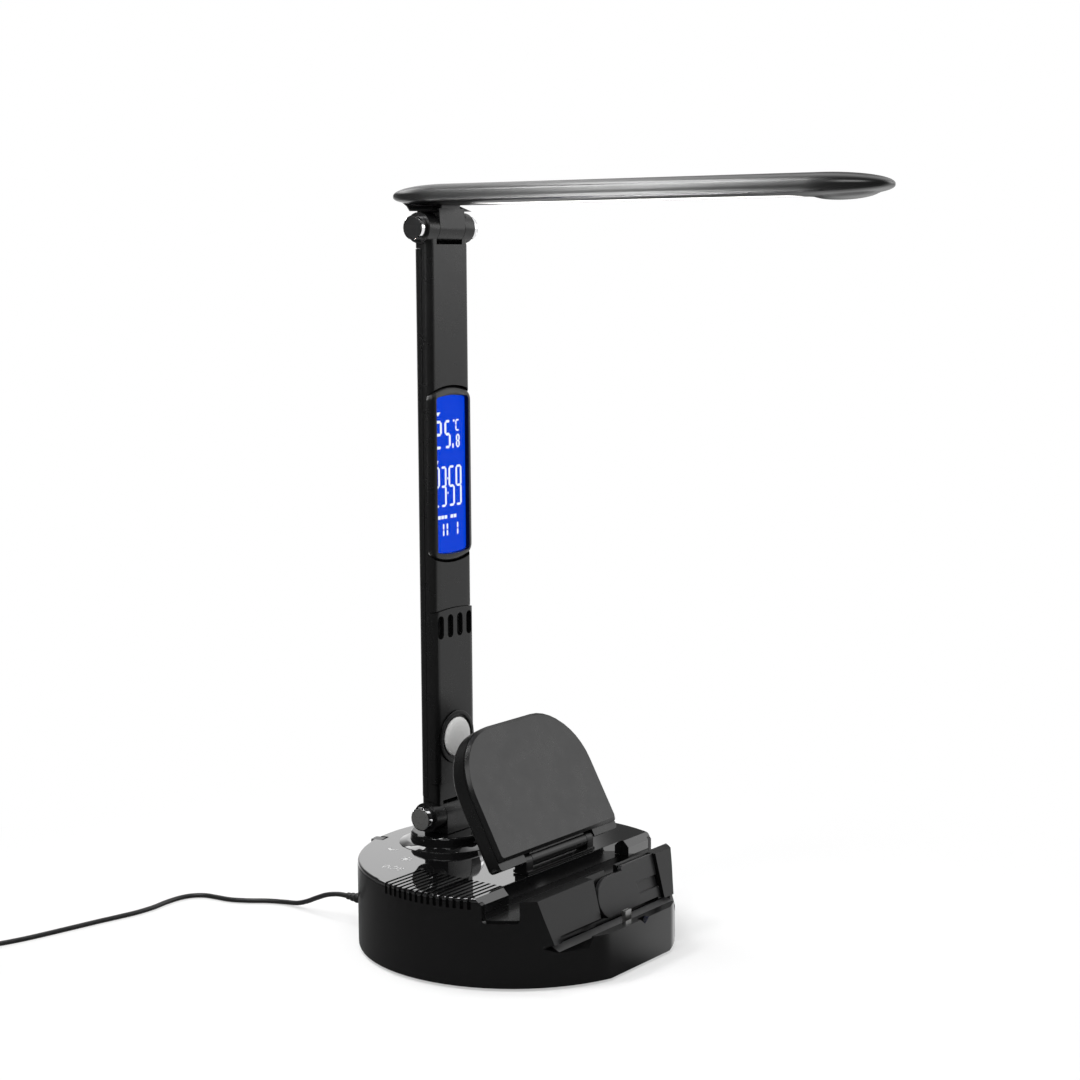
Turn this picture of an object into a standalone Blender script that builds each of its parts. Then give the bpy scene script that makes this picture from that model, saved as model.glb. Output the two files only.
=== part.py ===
"""LED desk lamp with a clock display in its stem and a phone charging stand on its round base.

Units are metres, +Z is up. The origin is the centre of the base circle on the desk. The front of the
lamp, which carries the dock and the flat face, looks along -Y, and the stem stands at +Y.
Each sub-part is one named object. Turning pieces are parented to an empty on their joint's axis.
"""

import math

import bmesh
import bpy
from mathutils import Matrix, Vector

# Shared values
GAP = 0.0003  # between faces that touch on the real lamp
OVERRUN = 0.004  # how far a cutter passes beyond what it cuts
FINE_STEPS = 64  # points round the base
ROUND_STEPS = 24  # points round a medium turned piece
SMALL_STEPS = 16  # points round a pin, screw or hole
CORNER_STEPS = 5  # points on a rounded corner
SMOOTH_ANGLE = math.radians(35)

# Base housing
BASE_RADIUS = 0.0872
BASE_HEIGHT = 0.0487
FLAT_CUT = 0.0047  # how far the flat front cuts into the circle
HOUSING_WALL = 0.0024
HOUSING_FOOT = 0.0012  # bottom edge of the side wall above the desk
FOOT_ROUND = 0.0012
COVER_RIM = 0.0024  # height of the top cover's rim above the side wall

# Underside
PAD_THICKNESS = 0.0016
PAD_INSET = 0.0060
PLATE_THICKNESS = 0.0025
BOSS_RADIUS = 0.0040
BOSS_ANGLES = (math.radians(35), math.radians(145), math.radians(215))
SCREW_RADIUS = 0.0013
SCREW_HEAD_RADIUS = 0.0026
SCREW_HEAD_DEPTH = 0.0012
SCREW_LENGTH = 0.0090
BALLAST_BORDER = 0.0182
BALLAST_WIDTH = 0.0210
BALLAST_HEADROOM = 0.0026  # under the trough

# Electronics in the base
BOARD_HALF = 0.0300
BOARD_THICKNESS = 0.0016
BOARD_HEIGHT = 0.0160
STANDOFF_RADIUS = 0.0025
STANDOFF_INSET = 0.0050
SPEAKER_RADIUS = 0.0170
SPEAKER_DEPTH = 0.0080
SPEAKER_BORDER = 0.0282  # from the base's edge to the speaker's centre
SPEAKER_SETBACK = 0.0257  # behind the rail
SPEAKER_MAGNET_RADIUS = 0.0090

# Phone slot, across the base from side to side
SLOT_SETBACK = 0.0291  # from the flat front
SLOT_WIDTH = 0.0167
SLOT_DEPTH = 0.0117
SLOT_EDGE_DROP = 0.0012  # extra depth of the slot in the side wall
SLOT_CORNER = 0.0020
SLOT_CHAMFER = 0.0034
TRAY_THICKNESS = 0.0027
TRAY_RISE = 0.0032
RAIL_WIDTH = 0.0070
PIT_BORDER = 0.0312  # from the base's edge to the end of the pit
PIT_WIDTH = 0.0047

# Slanted front wall of the dock
WALL_TOP_DROP = 0.0012
WALL_TOP_THICKNESS = 0.0069
WALL_LEAN = math.radians(14.5)
LEFT_WALL_FOOT_RISE = 0.0073  # the wall's foot above the trough's floor
RIGHT_WALL_FOOT_RISE = 0.0048
END_WALL_FOOT_RISE = 0.0038
RECESS_BORDER = 0.0399  # from the base's edge to the recess's right end
RECESS_WIDTH = 0.0603
DOCK_SETBACK = 0.0020
DOCK_THICKNESS = 0.0026
DOCK_DISC_RADIUS = 0.0113
DOCK_DISC_INSET = 0.0147  # from the recess's left end to the disc's centre
DOCK_DISC_DOWN = 0.0133
DOCK_BOTTOM = 0.0232
DOCK_TOP_RISE = 0.0005
DOCK_STEP_REACH = 0.0143  # from the disc's centre to the step in the plate's top
DOCK_STEP_CHAMFER = 0.0014
DOCK_NOTCH_WIDTH = 0.0115
DOCK_NOTCH_DEPTH = 0.0040
GRIP_LENGTH = 0.0205
GRIP_TOP_DOWN = 0.0112
GRIP_BOTTOM_DOWN = 0.0176
GRIP_DEPTH = 0.0012

# Trough in front of the slanted wall, with its lip and charging plug
TROUGH_DEPTH = 0.0290
TROUGH_THICKNESS = 0.0024
UNDERCUT_DEPTH = 0.0006  # behind the wall's top front edge
UNDERCUT_BORDER = 0.0372  # from the base's edge to the undercut's left end
LEDGE_RISE = 0.0023  # top of the sloping ledge above the trough's floor
LEDGE_FORWARD = 0.0025  # its top edge ahead of the wall's top front edge
LEDGE_WIDTH = 0.0049
LIP_THICKNESS = 0.0055
LIP_RISE = 0.0063
LIP_HALF_WIDTH = 0.0380
LIP_RAMP = 0.0030
LIP_NOTCH_X = 0.0034
LIP_NOTCH_HALF = 0.0045
LIP_NOTCH_DEPTH = 0.0030
CONNECTOR_HALF_WIDTH = 0.0031
CONNECTOR_DEPTH = 0.0025
CONNECTOR_SETBACK = 0.0040
CONNECTOR_HEIGHT = 0.0101
CONNECTOR_SOCKET_DEPTH = 0.0050
CONNECTOR_RIM = 0.0007

# Top cover
COVER_EDGE_ROUND = 0.0012
GROOVE_COUNT = 15
GROOVE_PITCH = 0.0038
GROOVE_WIDTH = 0.0019
GROOVE_DEPTH = 0.0012
GROOVE_SETBACK = 0.0062  # from the slot to the first groove
GROOVE_BORDER = 0.0332  # from the base's edge to the grooves' inner ends
GROOVE_DROP = 0.0059
COLLAR_FOOT_RADIUS = 0.0275
COLLAR_TOP_RADIUS = 0.0238
COLLAR_RISE = 0.0019

# Turntable and lower hinge
SWIVEL_SETBACK = 0.0392  # from the base's rear edge
TURNTABLE_RADIUS = 0.0210
TURNTABLE_THICKNESS = 0.0065
TURNTABLE_ROUND = 0.0010
SPINDLE_RADIUS = 0.0090
SPINDLE_LENGTH = 0.0070
NUT_RADIUS = 0.0150
NUT_THICKNESS = 0.0045
HINGE_RISE = 0.01735  # lower hinge axis above the top cover
HINGE_RADIUS = 0.0083
TONGUE_HALF_WIDTH = 0.0108
EAR_OUTER = 0.0196
PIN_RADIUS = 0.0030
CAP_RADIUS = 0.0065
CAP_LENGTH = 0.0044
CAP_FACE_RADIUS = 0.0060
CAP_FACE_THICKNESS = 0.0007
CAP_RECESS = 0.0008

# Stem
HINGE_SPAN = 0.32425  # from the lower to the upper hinge axis
STEM_HALF_WIDTH = 0.0174
STEM_HALF_DEPTH = 0.0059
STEM_CORNER = 0.0040
STEM_WALL = 0.0018
STEM_END_WALL = 0.0030
HINGE_RUNNING_GAP = 0.0006
WEB_INSET = 0.0002
RIDGE_RISE = 0.0015  # of the stem's rear edge behind each hinge
RIDGE_THICKNESS = 0.0012

# Clock display in the stem
BEZEL_START = 0.14195  # above the lower hinge axis
BEZEL_LENGTH = 0.0970
BEZEL_RISE = 0.0036
BEZEL_CORNER = 0.0048
BEZEL_PROUD = 0.0008  # ahead of the stem's faces
BEZEL_DEPTH = 0.0041
BEZEL_ROUND = 0.0039
WINDOW_HALF_WIDTH = 0.0139
WINDOW_MARGIN_LOW = 0.0046
WINDOW_MARGIN_HIGH = 0.0050
WINDOW_RISE = 0.0012
WINDOW_CORNER = 0.0015
LENS_RECESS = 0.0018
LENS_THICKNESS = 0.0005
LCD_THICKNESS = 0.0014
CLOCK_BOARD_BORDER = 0.0012
CLOCK_BOARD_THICKNESS = 0.0012

# Panel with vents and a motion sensor, low on the stem
PANEL_START = 0.01795  # above the lower hinge axis
PANEL_LENGTH = 0.0982
PANEL_RISE = 0.0020
PANEL_PROUD = 0.0009
PANEL_SINK = 0.0005  # into the stem's faces
PANEL_WRAP = 0.0029  # how far it wraps round the stem's sides
VENT_COUNT = 4
VENT_PITCH = 0.0083
VENT_HALF_WIDTH = 0.0025
VENT_MARGIN = 0.0032  # below the panel's top
VENT_LENGTH = 0.0130
SENSOR_START = 0.0255  # above the panel's bottom
SENSOR_RADIUS = 0.0110
SENSOR_BULGE = 0.0020
SENSOR_RIM = 0.0006
RING_INNER = 0.0126
RING_OUTER = 0.0149
RING_THICKNESS = 0.0006

# Head
HEAD_CLEARANCE = 0.0173  # from the upper hinge axis to the head's middle
HEAD_REAR_REACH = 0.0299
HEAD_LENGTH = 0.3016
HEAD_HALF_WIDTH = 0.0200
HEAD_RISE = 0.0063
HEAD_DROP = 0.0053
HEAD_TIP = 0.0360  # length over which each end narrows
HEAD_WALL = 0.0016
HEAD_TOP_POWER = 2.3
HEAD_BOTTOM_POWER = 3.5
HEAD_TIP_STEPS = 7
HEAD_SECTION_STEPS = 14
DIFFUSER_REAR_MARGIN = 0.0579
DIFFUSER_FRONT_MARGIN = 0.0437
DIFFUSER_HALF_WIDTH = 0.0140
DIFFUSER_CORNER = 0.0060
DIFFUSER_RECESS = 0.0006
DIFFUSER_THICKNESS = 0.0015
LIGHT_BOARD_THICKNESS = 0.0012
LIGHT_BOARD_MARGIN = 0.0015
NOSE_SETBACK = 0.0240
NOSE_HALF_LENGTH = 0.0151
NOSE_HALF_WIDTH = 0.0120
NOSE_DROP = 0.0020  # below the head's underside
NOSE_STEPS = 5
FLARE_FOOT_HALF_WIDTH = 0.0184
FLARE_FOOT_HALF_DEPTH = 0.0072
FLARE_CORNER = 0.0006
FLARE_TOP_HALF_WIDTH = 0.0110
FLARE_TOP_HALF_DEPTH = 0.0048
FIN_MIDDLE_REACH = 0.0168  # of the fin behind the hinge axis, where it meets the head's flat underside
FIN_MIDDLE_HALF_WIDTH = 0.0090
FIN_END_REACH = 0.0262
FIN_END_HALF_WIDTH = 0.0050
NECK_HALF_DEPTH = 0.0076
STUB_HALF_WIDTH = 0.0080
STUB_HALF_LENGTH = 0.0070
STUB_RISE = 0.0026

# Charging pad behind the phone, leaning back on its hinge
PAD_LEAN = math.radians(28.93)
PAD_HINGE_SETBACK = 0.0107  # behind the slot
PAD_HINGE_RISE = 0.0065  # above the top cover
PAD_HALF_WIDTH = 0.0540
PAD_TOP = 0.0743  # from the hinge axis along the pad
PAD_TOP_CORNER = 0.0340
PAD_BOTTOM_CORNER = 0.0020
PAD_FRONT_FACE = 0.0075  # ahead of the hinge axis
PAD_BACK_FACE = -0.0048
PAD_FRONT_THICKNESS = 0.0026
PAD_FRONT_CHAMFER = 0.0016
PAD_FRONT_FOOT = 0.0030
PAD_SIDE_FOOT = -0.0010
PAD_WALL = 0.0020
PAD_BACK_ROUND = 0.0025
PAD_BARREL_RADIUS = 0.0040
PAD_BARREL_HALF = 0.0250
PAD_TONGUE_HALF_THICKNESS = 0.0032
PAD_LUG_THICKNESS = 0.0057
PAD_PIN_RADIUS = 0.0016
BRACKET_THICKNESS = 0.0016
BRACKET_MARGIN = 0.0010
COIL_OUTER = 0.0220
COIL_INNER = 0.0110
COIL_THICKNESS = 0.0020
COIL_HEIGHT = 0.0360

# Power button on the rear rim
BUTTON_ANGLE = math.radians(102)
BUTTON_HALF_WIDTH = 0.0036
BUTTON_PROUD = 0.0020
BUTTON_DEPTH = 0.0060
BUTTON_HEIGHT = 0.0044
BUTTON_CORNER = 0.0010
BUTTON_TRAVEL = 0.0012

# Power inlet and cord
INLET_X = -0.0300
INLET_HEIGHT = 0.0155
INLET_BORE = 0.0041
INLET_BODY_HALF = 0.0046
INLET_BODY_LENGTH = 0.0080
PLUG_RADIUS = 0.0036
PLUG_SLEEVE = 0.0040
RELIEF_END_RADIUS = 0.0020
PLUG_BACK = 0.0972  # where the cord leaves the strain relief
CORD_DIAMETER = 0.0028
CORD_LENGTH = 1.5
ROUTE_STEP = 0.0070
COIL_LAYERS = 4
COIL_TURNS_PER_LAYER = 3
COIL_TURN_STEPS = 24
COIL_PITCH = 0.0033
COIL_MIDDLE_RADIUS = 0.0157
TIE_THICKNESS = 0.0007
TIE_WIDTH = 0.0050
TIE_CORNER = 0.0020
USB_HALF_WIDTH = 0.0078
USB_HALF_HEIGHT = 0.0040
USB_LENGTH = 0.0230
USB_CORNER = 0.0025
USB_TONGUE_HALF_WIDTH = 0.0060
USB_TONGUE_HALF_HEIGHT = 0.00225
USB_TONGUE_LENGTH = 0.0120

# The cord's route from the strain relief to its coil, chosen by hand
CORD_ROUTE = (
    (-0.0300, 0.0975, 0.0155),
    (-0.0300, 0.1045, 0.0152),
    (-0.0298, 0.1130, 0.0134),
    (-0.0290, 0.1220, 0.0098),
    (-0.0276, 0.1310, 0.0058),
    (-0.0262, 0.1400, 0.0029),
    (-0.0262, 0.1500, 0.0018),
    (-0.0300, 0.1600, 0.0017),
    (-0.0360, 0.1692, 0.0017),
    (-0.0405, 0.1790, 0.0017),
    (-0.0418, 0.1890, 0.0017),
    (-0.0430, 0.1970, 0.0017),
    (-0.0475, 0.2032, 0.0017),
    (-0.0550, 0.2062, 0.0017),
    (-0.0660, 0.2065, 0.0017),
    (-0.0780, 0.2052, 0.0017),
    (-0.0900, 0.2058, 0.0017),
    (-0.1020, 0.2082, 0.0017),
    (-0.1150, 0.2112, 0.0017),
    (-0.1300, 0.2142, 0.0017),
    (-0.1450, 0.2172, 0.0017),
    (-0.1600, 0.2206, 0.0017),
    (-0.1750, 0.2246, 0.0020),
    (-0.1900, 0.2292, 0.0026),
    (-0.1975, 0.2317, 0.0028),
    (-0.2050, 0.2342, 0.0028),
)

# Looks as base colour, roughness and metallic
GLOSS_BLACK = ((0.012, 0.012, 0.013), 0.12, 0.0)
SATIN_BLACK = ((0.022, 0.022, 0.024), 0.38, 0.0)
GREY_BLACK = ((0.045, 0.045, 0.048), 0.42, 0.0)
RUBBER_BLACK = ((0.02, 0.02, 0.02), 0.85, 0.0)
CHROME = ((0.86, 0.86, 0.88), 0.08, 1.0)
SATIN_METAL = ((0.62, 0.62, 0.63), 0.35, 1.0)
STEEL = ((0.5, 0.5, 0.52), 0.4, 1.0)
IRON = ((0.18, 0.18, 0.19), 0.6, 1.0)
BOARD_GREEN = ((0.03, 0.16, 0.07), 0.5, 0.0)
DISPLAY_BLUE = ((0.01, 0.12, 0.85), 0.3, 0.0)
CLEAR = ((0.85, 0.87, 0.9), 0.05, 0.0)
WARM_WHITE = ((0.9, 0.89, 0.86), 0.4, 0.0)
SENSOR_WHITE = ((0.72, 0.72, 0.71), 0.35, 0.0)
COPPER = ((0.75, 0.33, 0.16), 0.35, 1.0)
CORD_BLACK = ((0.015, 0.015, 0.015), 0.5, 0.0)

# Places that follow from the values above
FLAT_DISTANCE = BASE_RADIUS - FLAT_CUT
SEAM_HEIGHT = BASE_HEIGHT - COVER_RIM
BALLAST_OUTER = BASE_RADIUS - BALLAST_BORDER
BALLAST_INNER = BALLAST_OUTER - BALLAST_WIDTH
SLOT_FRONT = SLOT_SETBACK - FLAT_DISTANCE
SLOT_REAR = SLOT_FRONT + SLOT_WIDTH
SLOT_FLOOR = BASE_HEIGHT - SLOT_DEPTH
SLOT_EDGE_FLOOR = SLOT_FLOOR - SLOT_EDGE_DROP
TRAY_TOP = SLOT_FLOOR + TRAY_RISE
RAIL_REAR = SLOT_REAR + RAIL_WIDTH
SPEAKER_CENTRE = (SPEAKER_BORDER - BASE_RADIUS, RAIL_REAR + SPEAKER_SETBACK)
PIT_HALF_WIDTH = BASE_RADIUS - PIT_BORDER
PIT_REAR = SLOT_REAR + PIT_WIDTH
WALL_TOP = BASE_HEIGHT - WALL_TOP_DROP
WALL_FRONT = SLOT_FRONT - WALL_TOP_THICKNESS
TROUGH_FLOOR = BASE_HEIGHT - TROUGH_DEPTH
BALLAST_TOP = TROUGH_FLOOR - TROUGH_THICKNESS - BALLAST_HEADROOM
TROUGH_BACK = WALL_FRONT + UNDERCUT_DEPTH
LEFT_WALL_FOOT = TROUGH_FLOOR + LEFT_WALL_FOOT_RISE
RIGHT_WALL_FOOT = TROUGH_FLOOR + RIGHT_WALL_FOOT_RISE
END_WALL_FOOT = TROUGH_FLOOR + END_WALL_FOOT_RISE
UNDERCUT_LEFT = UNDERCUT_BORDER - BASE_RADIUS
LEDGE_TOP = TROUGH_FLOOR + LEDGE_RISE
LEDGE_BACK = WALL_FRONT - LEDGE_FORWARD
LEDGE_FRONT = LEDGE_BACK - LEDGE_WIDTH
LIP_INNER = LIP_THICKNESS - FLAT_DISTANCE
LIP_TOP = TROUGH_FLOOR + LIP_RISE
RECESS_RIGHT = BASE_RADIUS - RECESS_BORDER
RECESS_LEFT = RECESS_RIGHT - RECESS_WIDTH
DOCK_DISC_X = RECESS_LEFT + DOCK_DISC_INSET
DOCK_STEP_X = DOCK_DISC_X + DOCK_STEP_REACH
CONNECTOR_Y = LIP_INNER + CONNECTOR_SETBACK
CONNECTOR_TOP = TROUGH_FLOOR + CONNECTOR_HEIGHT
GROOVE_FIRST_Y = SLOT_REAR + GROOVE_SETBACK
GROOVE_INNER_X = GROOVE_BORDER - BASE_RADIUS
GROOVE_FOOT = BASE_HEIGHT - GROOVE_DROP
SWIVEL_Y = BASE_RADIUS - SWIVEL_SETBACK
HINGE_HEIGHT = BASE_HEIGHT + HINGE_RISE
UPPER_HINGE_HEIGHT = HINGE_HEIGHT + HINGE_SPAN
BEZEL_LOW = HINGE_HEIGHT + BEZEL_START
BEZEL_HIGH = BEZEL_LOW + BEZEL_LENGTH
PANEL_LOW = HINGE_HEIGHT + PANEL_START
PANEL_HIGH = PANEL_LOW + PANEL_LENGTH
VENT_HIGH = PANEL_HIGH - VENT_MARGIN
VENT_LOW = VENT_HIGH - VENT_LENGTH
SENSOR_HEIGHT = PANEL_LOW + SENSOR_START
HEAD_CENTRE_HEIGHT = UPPER_HINGE_HEIGHT + HEAD_CLEARANCE
HEAD_REAR = SWIVEL_Y + HEAD_REAR_REACH
HEAD_FRONT = HEAD_REAR - HEAD_LENGTH
DIFFUSER_REAR = HEAD_REAR - DIFFUSER_REAR_MARGIN
DIFFUSER_FRONT = HEAD_FRONT + DIFFUSER_FRONT_MARGIN
NOSE_CENTRE = HEAD_FRONT + NOSE_SETBACK
PAD_HINGE_Y = SLOT_REAR + PAD_HINGE_SETBACK
PAD_HINGE_Z = BASE_HEIGHT + PAD_HINGE_RISE
BUTTON_TOP = BASE_HEIGHT - GAP
BUTTON_LOW = BUTTON_TOP - BUTTON_HEIGHT
PLATE_BOTTOM = PAD_THICKNESS + GAP
PLATE_TOP = PLATE_BOTTOM + PLATE_THICKNESS
BALLAST_BOTTOM = PLATE_TOP + GAP
COVER_BOTTOM = SEAM_HEIGHT + GAP
BOSS_DISTANCE = BASE_RADIUS - HOUSING_WALL - BOSS_RADIUS + HOUSING_WALL / 4
TURNTABLE_BOTTOM = BASE_HEIGHT + GAP
TURNTABLE_TOP = TURNTABLE_BOTTOM + TURNTABLE_THICKNESS
KNUCKLE_BOTTOM = TURNTABLE_TOP + GAP
EAR_INNER = TONGUE_HALF_WIDTH + GAP
PIN_BORE = PIN_RADIUS + GAP
STEM_BOTTOM = HINGE_HEIGHT + HINGE_RADIUS + HINGE_RUNNING_GAP
STEM_TOP = UPPER_HINGE_HEIGHT - HINGE_RADIUS - HINGE_RUNNING_GAP
STEM_FRONT = SWIVEL_Y - STEM_HALF_DEPTH
STEM_REAR = SWIVEL_Y + STEM_HALF_DEPTH
BEZEL_FRONT = STEM_FRONT - BEZEL_PROUD
BEZEL_BACK = BEZEL_FRONT + BEZEL_DEPTH
WINDOW_LOW = BEZEL_LOW + WINDOW_MARGIN_LOW
WINDOW_HIGH = BEZEL_HIGH - WINDOW_MARGIN_HIGH
PANEL_FRONT = STEM_FRONT - PANEL_PROUD
PANEL_BACK = STEM_FRONT + PANEL_SINK
PANEL_EDGE = STEM_FRONT + PANEL_WRAP
HEAD_BOTTOM = HEAD_CENTRE_HEIGHT - HEAD_DROP
HEAD_STRAIGHT_REAR = HEAD_REAR - HEAD_TIP
HEAD_STRAIGHT_FRONT = HEAD_FRONT + HEAD_TIP
SWIVEL_AXIS = Vector((0, SWIVEL_Y, BASE_HEIGHT))
STEM_AXIS = Vector((0, SWIVEL_Y, HINGE_HEIGHT))
HEAD_AXIS = Vector((0, SWIVEL_Y, UPPER_HINGE_HEIGHT))
PAD_AXIS = Vector((0, PAD_HINGE_Y, PAD_HINGE_Z))
WALL_FRAME = Matrix.Translation((0, WALL_FRONT, WALL_TOP)) @ Matrix.Rotation(-WALL_LEAN, 4, "X")
PAD_FRAME = Matrix.Translation(PAD_AXIS) @ Matrix.Rotation(-PAD_LEAN, 4, "X")
BUTTON_FRAME = Matrix.Rotation(BUTTON_ANGLE - math.radians(90), 4, "Z")


# Outlines, as lists of two-dimensional points


def arc(centre, radius, start, end, steps):
    """Points on an arc, both ends included."""
    points = []
    for i in range(steps + 1):
        angle = start + (end - start) * i / steps
        points.append((centre[0] + radius * math.cos(angle), centre[1] + radius * math.sin(angle)))
    return points


def circle(radius, steps, centre=(0, 0)):
    return arc(centre, radius, 0, math.tau, steps)[:-1]


def rounded_box(low, high, radius, steps=CORNER_STEPS):
    """Rectangle with round corners, anticlockwise from its lower right corner."""
    corners = (
        ((high[0] - radius, low[1] + radius), -math.pi / 2),
        ((high[0] - radius, high[1] - radius), 0),
        ((low[0] + radius, high[1] - radius), math.pi / 2),
        ((low[0] + radius, low[1] + radius), math.pi),
    )
    points = []
    for centre, start in corners:
        points += arc(centre, radius, start, start + math.pi / 2, steps)
    return points


def bowed_box(half_width, low, high, rise, corner, steps=8):
    """Upright rectangle with round corners whose top and bottom bow outwards by rise."""
    middle = (low + high) / 2
    inner = rounded_box((-half_width, low + rise), (half_width, high - rise), corner)
    half = len(inner) // 2
    points = []
    for index, (x, z) in enumerate(inner):
        points.append((x, z))
        if index + 1 in (half, len(inner)):
            end = inner[(index + 1) % len(inner)][0]
            points += [(x + (end - x) * i / steps, z) for i in range(1, steps)]
    bowed = []
    for x, z in points:
        swell = rise * (1 - (x / half_width) ** 2)
        bowed.append((x, z + swell if z > middle else z - swell))
    return bowed


def base_outline(inset):
    """Plan of the base: a circle cut off by the flat front."""
    radius = BASE_RADIUS - inset
    half = math.acos((FLAT_DISTANCE - inset) / radius)
    return arc((0, 0), radius, -math.pi / 2 + half, 1.5 * math.pi - half, FINE_STEPS)


# Meshes


def loft(rings):
    """Closed mesh through rings of points of equal count."""
    mesh = bmesh.new()
    rows = [[mesh.verts.new(point) for point in ring] for ring in rings]
    for low, high in zip(rows, rows[1:]):
        for i in range(len(low)):
            j = (i + 1) % len(low)
            mesh.faces.new((low[i], low[j], high[j], high[i]))
    mesh.faces.new(rows[0])
    mesh.faces.new(rows[-1])
    bmesh.ops.recalc_face_normals(mesh, faces=mesh.faces)
    return mesh


def place(point, height, axis):
    u, v = point
    return {"X": (height, u, v), "Y": (u, height, v), "Z": (u, v, height)}[axis]


def prism(outline, low, high, axis="Z"):
    """Outline extruded along an axis. The outline is (y, z) for X, (x, z) for Y and (x, y) for Z."""
    return loft([[place(point, height, axis) for point in outline] for height in (low, high)])


def stack(levels, axis="Z"):
    """Loft of outlines, each at its own height: levels are (outline, height)."""
    return loft([[place(point, height, axis) for point in outline] for outline, height in levels])


def box(low, high):
    outline = ((low[0], low[1]), (high[0], low[1]), (high[0], high[1]), (low[0], high[1]))
    return prism(outline, low[2], high[2])


def rod(radius, low, high, axis="X", centre=(0, 0), steps=SMALL_STEPS):
    return prism(circle(radius, steps, centre), low, high, axis)


def washer(outer, inner, low, high, axis="Z", centre=(0, 0), steps=ROUND_STEPS):
    """Flat ring."""
    section = ((inner, low), (outer, low), (outer, high), (inner, high))
    mesh = bmesh.new()
    rows = []
    for i in range(steps):
        angle = math.tau * i / steps
        turn = (math.cos(angle), math.sin(angle))
        row = []
        for radius, height in section:
            point = (centre[0] + radius * turn[0], centre[1] + radius * turn[1])
            row.append(mesh.verts.new(place(point, height, axis)))
        rows.append(row)
    for i, row in enumerate(rows):
        following = rows[(i + 1) % steps]
        for a in range(len(section)):
            b = (a + 1) % len(section)
            mesh.faces.new((row[a], row[b], following[b], following[a]))
    bmesh.ops.recalc_face_normals(mesh, faces=mesh.faces)
    return mesh


def moved(mesh, matrix):
    mesh.transform(matrix)
    return mesh


# Objects


def finish(name, look):
    colour, roughness, metallic = look
    material = bpy.data.materials.new(name)
    material.use_nodes = True
    shader = material.node_tree.nodes["Principled BSDF"]
    shader.inputs["Base Color"].default_value = (*colour, 1)
    shader.inputs["Roughness"].default_value = roughness
    shader.inputs["Metallic"].default_value = metallic
    return material


def new_object(name, mesh):
    data = bpy.data.meshes.new(name)
    mesh.to_mesh(data)
    mesh.free()
    data.shade_smooth()
    data.set_sharp_from_angle(angle=SMOOTH_ANGLE)
    thing = bpy.data.objects.new(name, data)
    bpy.context.scene.collection.objects.link(thing)
    return thing


def piece(name, mesh, look, carrier=None):
    """Named sub-part with its own material, on the empty that carries it."""
    thing = new_object(name, mesh)
    thing.data.materials.append(finish(f"{name}_finish", look))
    attach(thing, carrier)
    return thing


def attach(thing, carrier):
    if carrier:
        thing.parent = carrier
        thing.matrix_parent_inverse = carrier.matrix_world.inverted()


def shape(target, operation, mesh):
    """Adds a Boolean to target. Its tool stays as a wire helper that isn't rendered."""
    tool = new_object(f"{target.name}_tool_{len(target.modifiers)}", mesh)
    tool.hide_render = True
    tool.display_type = "WIRE"
    modifier = target.modifiers.new(operation.title(), "BOOLEAN")
    modifier.object = tool
    modifier.operation = operation


def cut(target, *meshes):
    for mesh in meshes:
        shape(target, "DIFFERENCE", mesh)


def join(target, *meshes):
    for mesh in meshes:
        shape(target, "UNION", mesh)


def axis_empty(name, location, carrier=None):
    """Empty on a joint's axis."""
    empty = bpy.data.objects.new(name, None)
    bpy.context.scene.collection.objects.link(empty)
    empty.location = location
    bpy.context.view_layer.update()
    if carrier:
        attach(empty, carrier)
        bpy.context.view_layer.update()
    return empty


# Base


def wall_face_y(height):
    """Where the slanted wall's front face is at a height."""
    return WALL_FRONT - (WALL_TOP - height) * math.tan(WALL_LEAN)


def front_opening(low_x, high_x, wall_foot, back):
    """Space in front of the slanted wall, over the sloping ledge, the trough and the lip."""
    above = WALL_TOP + OVERRUN
    ahead = -BASE_RADIUS - OVERRUN
    outline = (
        (wall_face_y(above), above),
        (wall_face_y(wall_foot), wall_foot),
        (back, wall_foot),
        (back, LEDGE_TOP),
        (LEDGE_BACK, LEDGE_TOP),
        (LEDGE_FRONT, TROUGH_FLOOR),
        (LIP_INNER, TROUGH_FLOOR),
        (LIP_INNER, LIP_TOP),
        (ahead, LIP_TOP),
        (ahead, above),
    )
    return prism(outline, low_x, high_x, "X")


def slot_opening(half_width, rear, floor):
    """The phone slot, with round lower corners."""
    top = BASE_HEIGHT + OVERRUN
    corner = SLOT_CORNER
    outline = [(SLOT_FRONT, top)]
    outline += arc((SLOT_FRONT + corner, floor + corner), corner, math.pi, 1.5 * math.pi, CORNER_STEPS)
    outline += arc((rear - corner, floor + corner), corner, -math.pi / 2, 0, CORNER_STEPS)
    outline.append((rear, top))
    return prism(outline, -half_width, half_width, "X")


def slot_chamfer():
    """Wedge that bevels the slot's rear top edge."""
    reach = SLOT_CHAMFER + OVERRUN
    outline = (
        (SLOT_REAR - OVERRUN, BASE_HEIGHT - reach),
        (SLOT_REAR + SLOT_CHAMFER + OVERRUN, BASE_HEIGHT + OVERRUN),
        (SLOT_REAR - OVERRUN, BASE_HEIGHT + OVERRUN),
    )
    return prism(outline, -BASE_RADIUS - OVERRUN, BASE_RADIUS + OVERRUN, "X")


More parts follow.
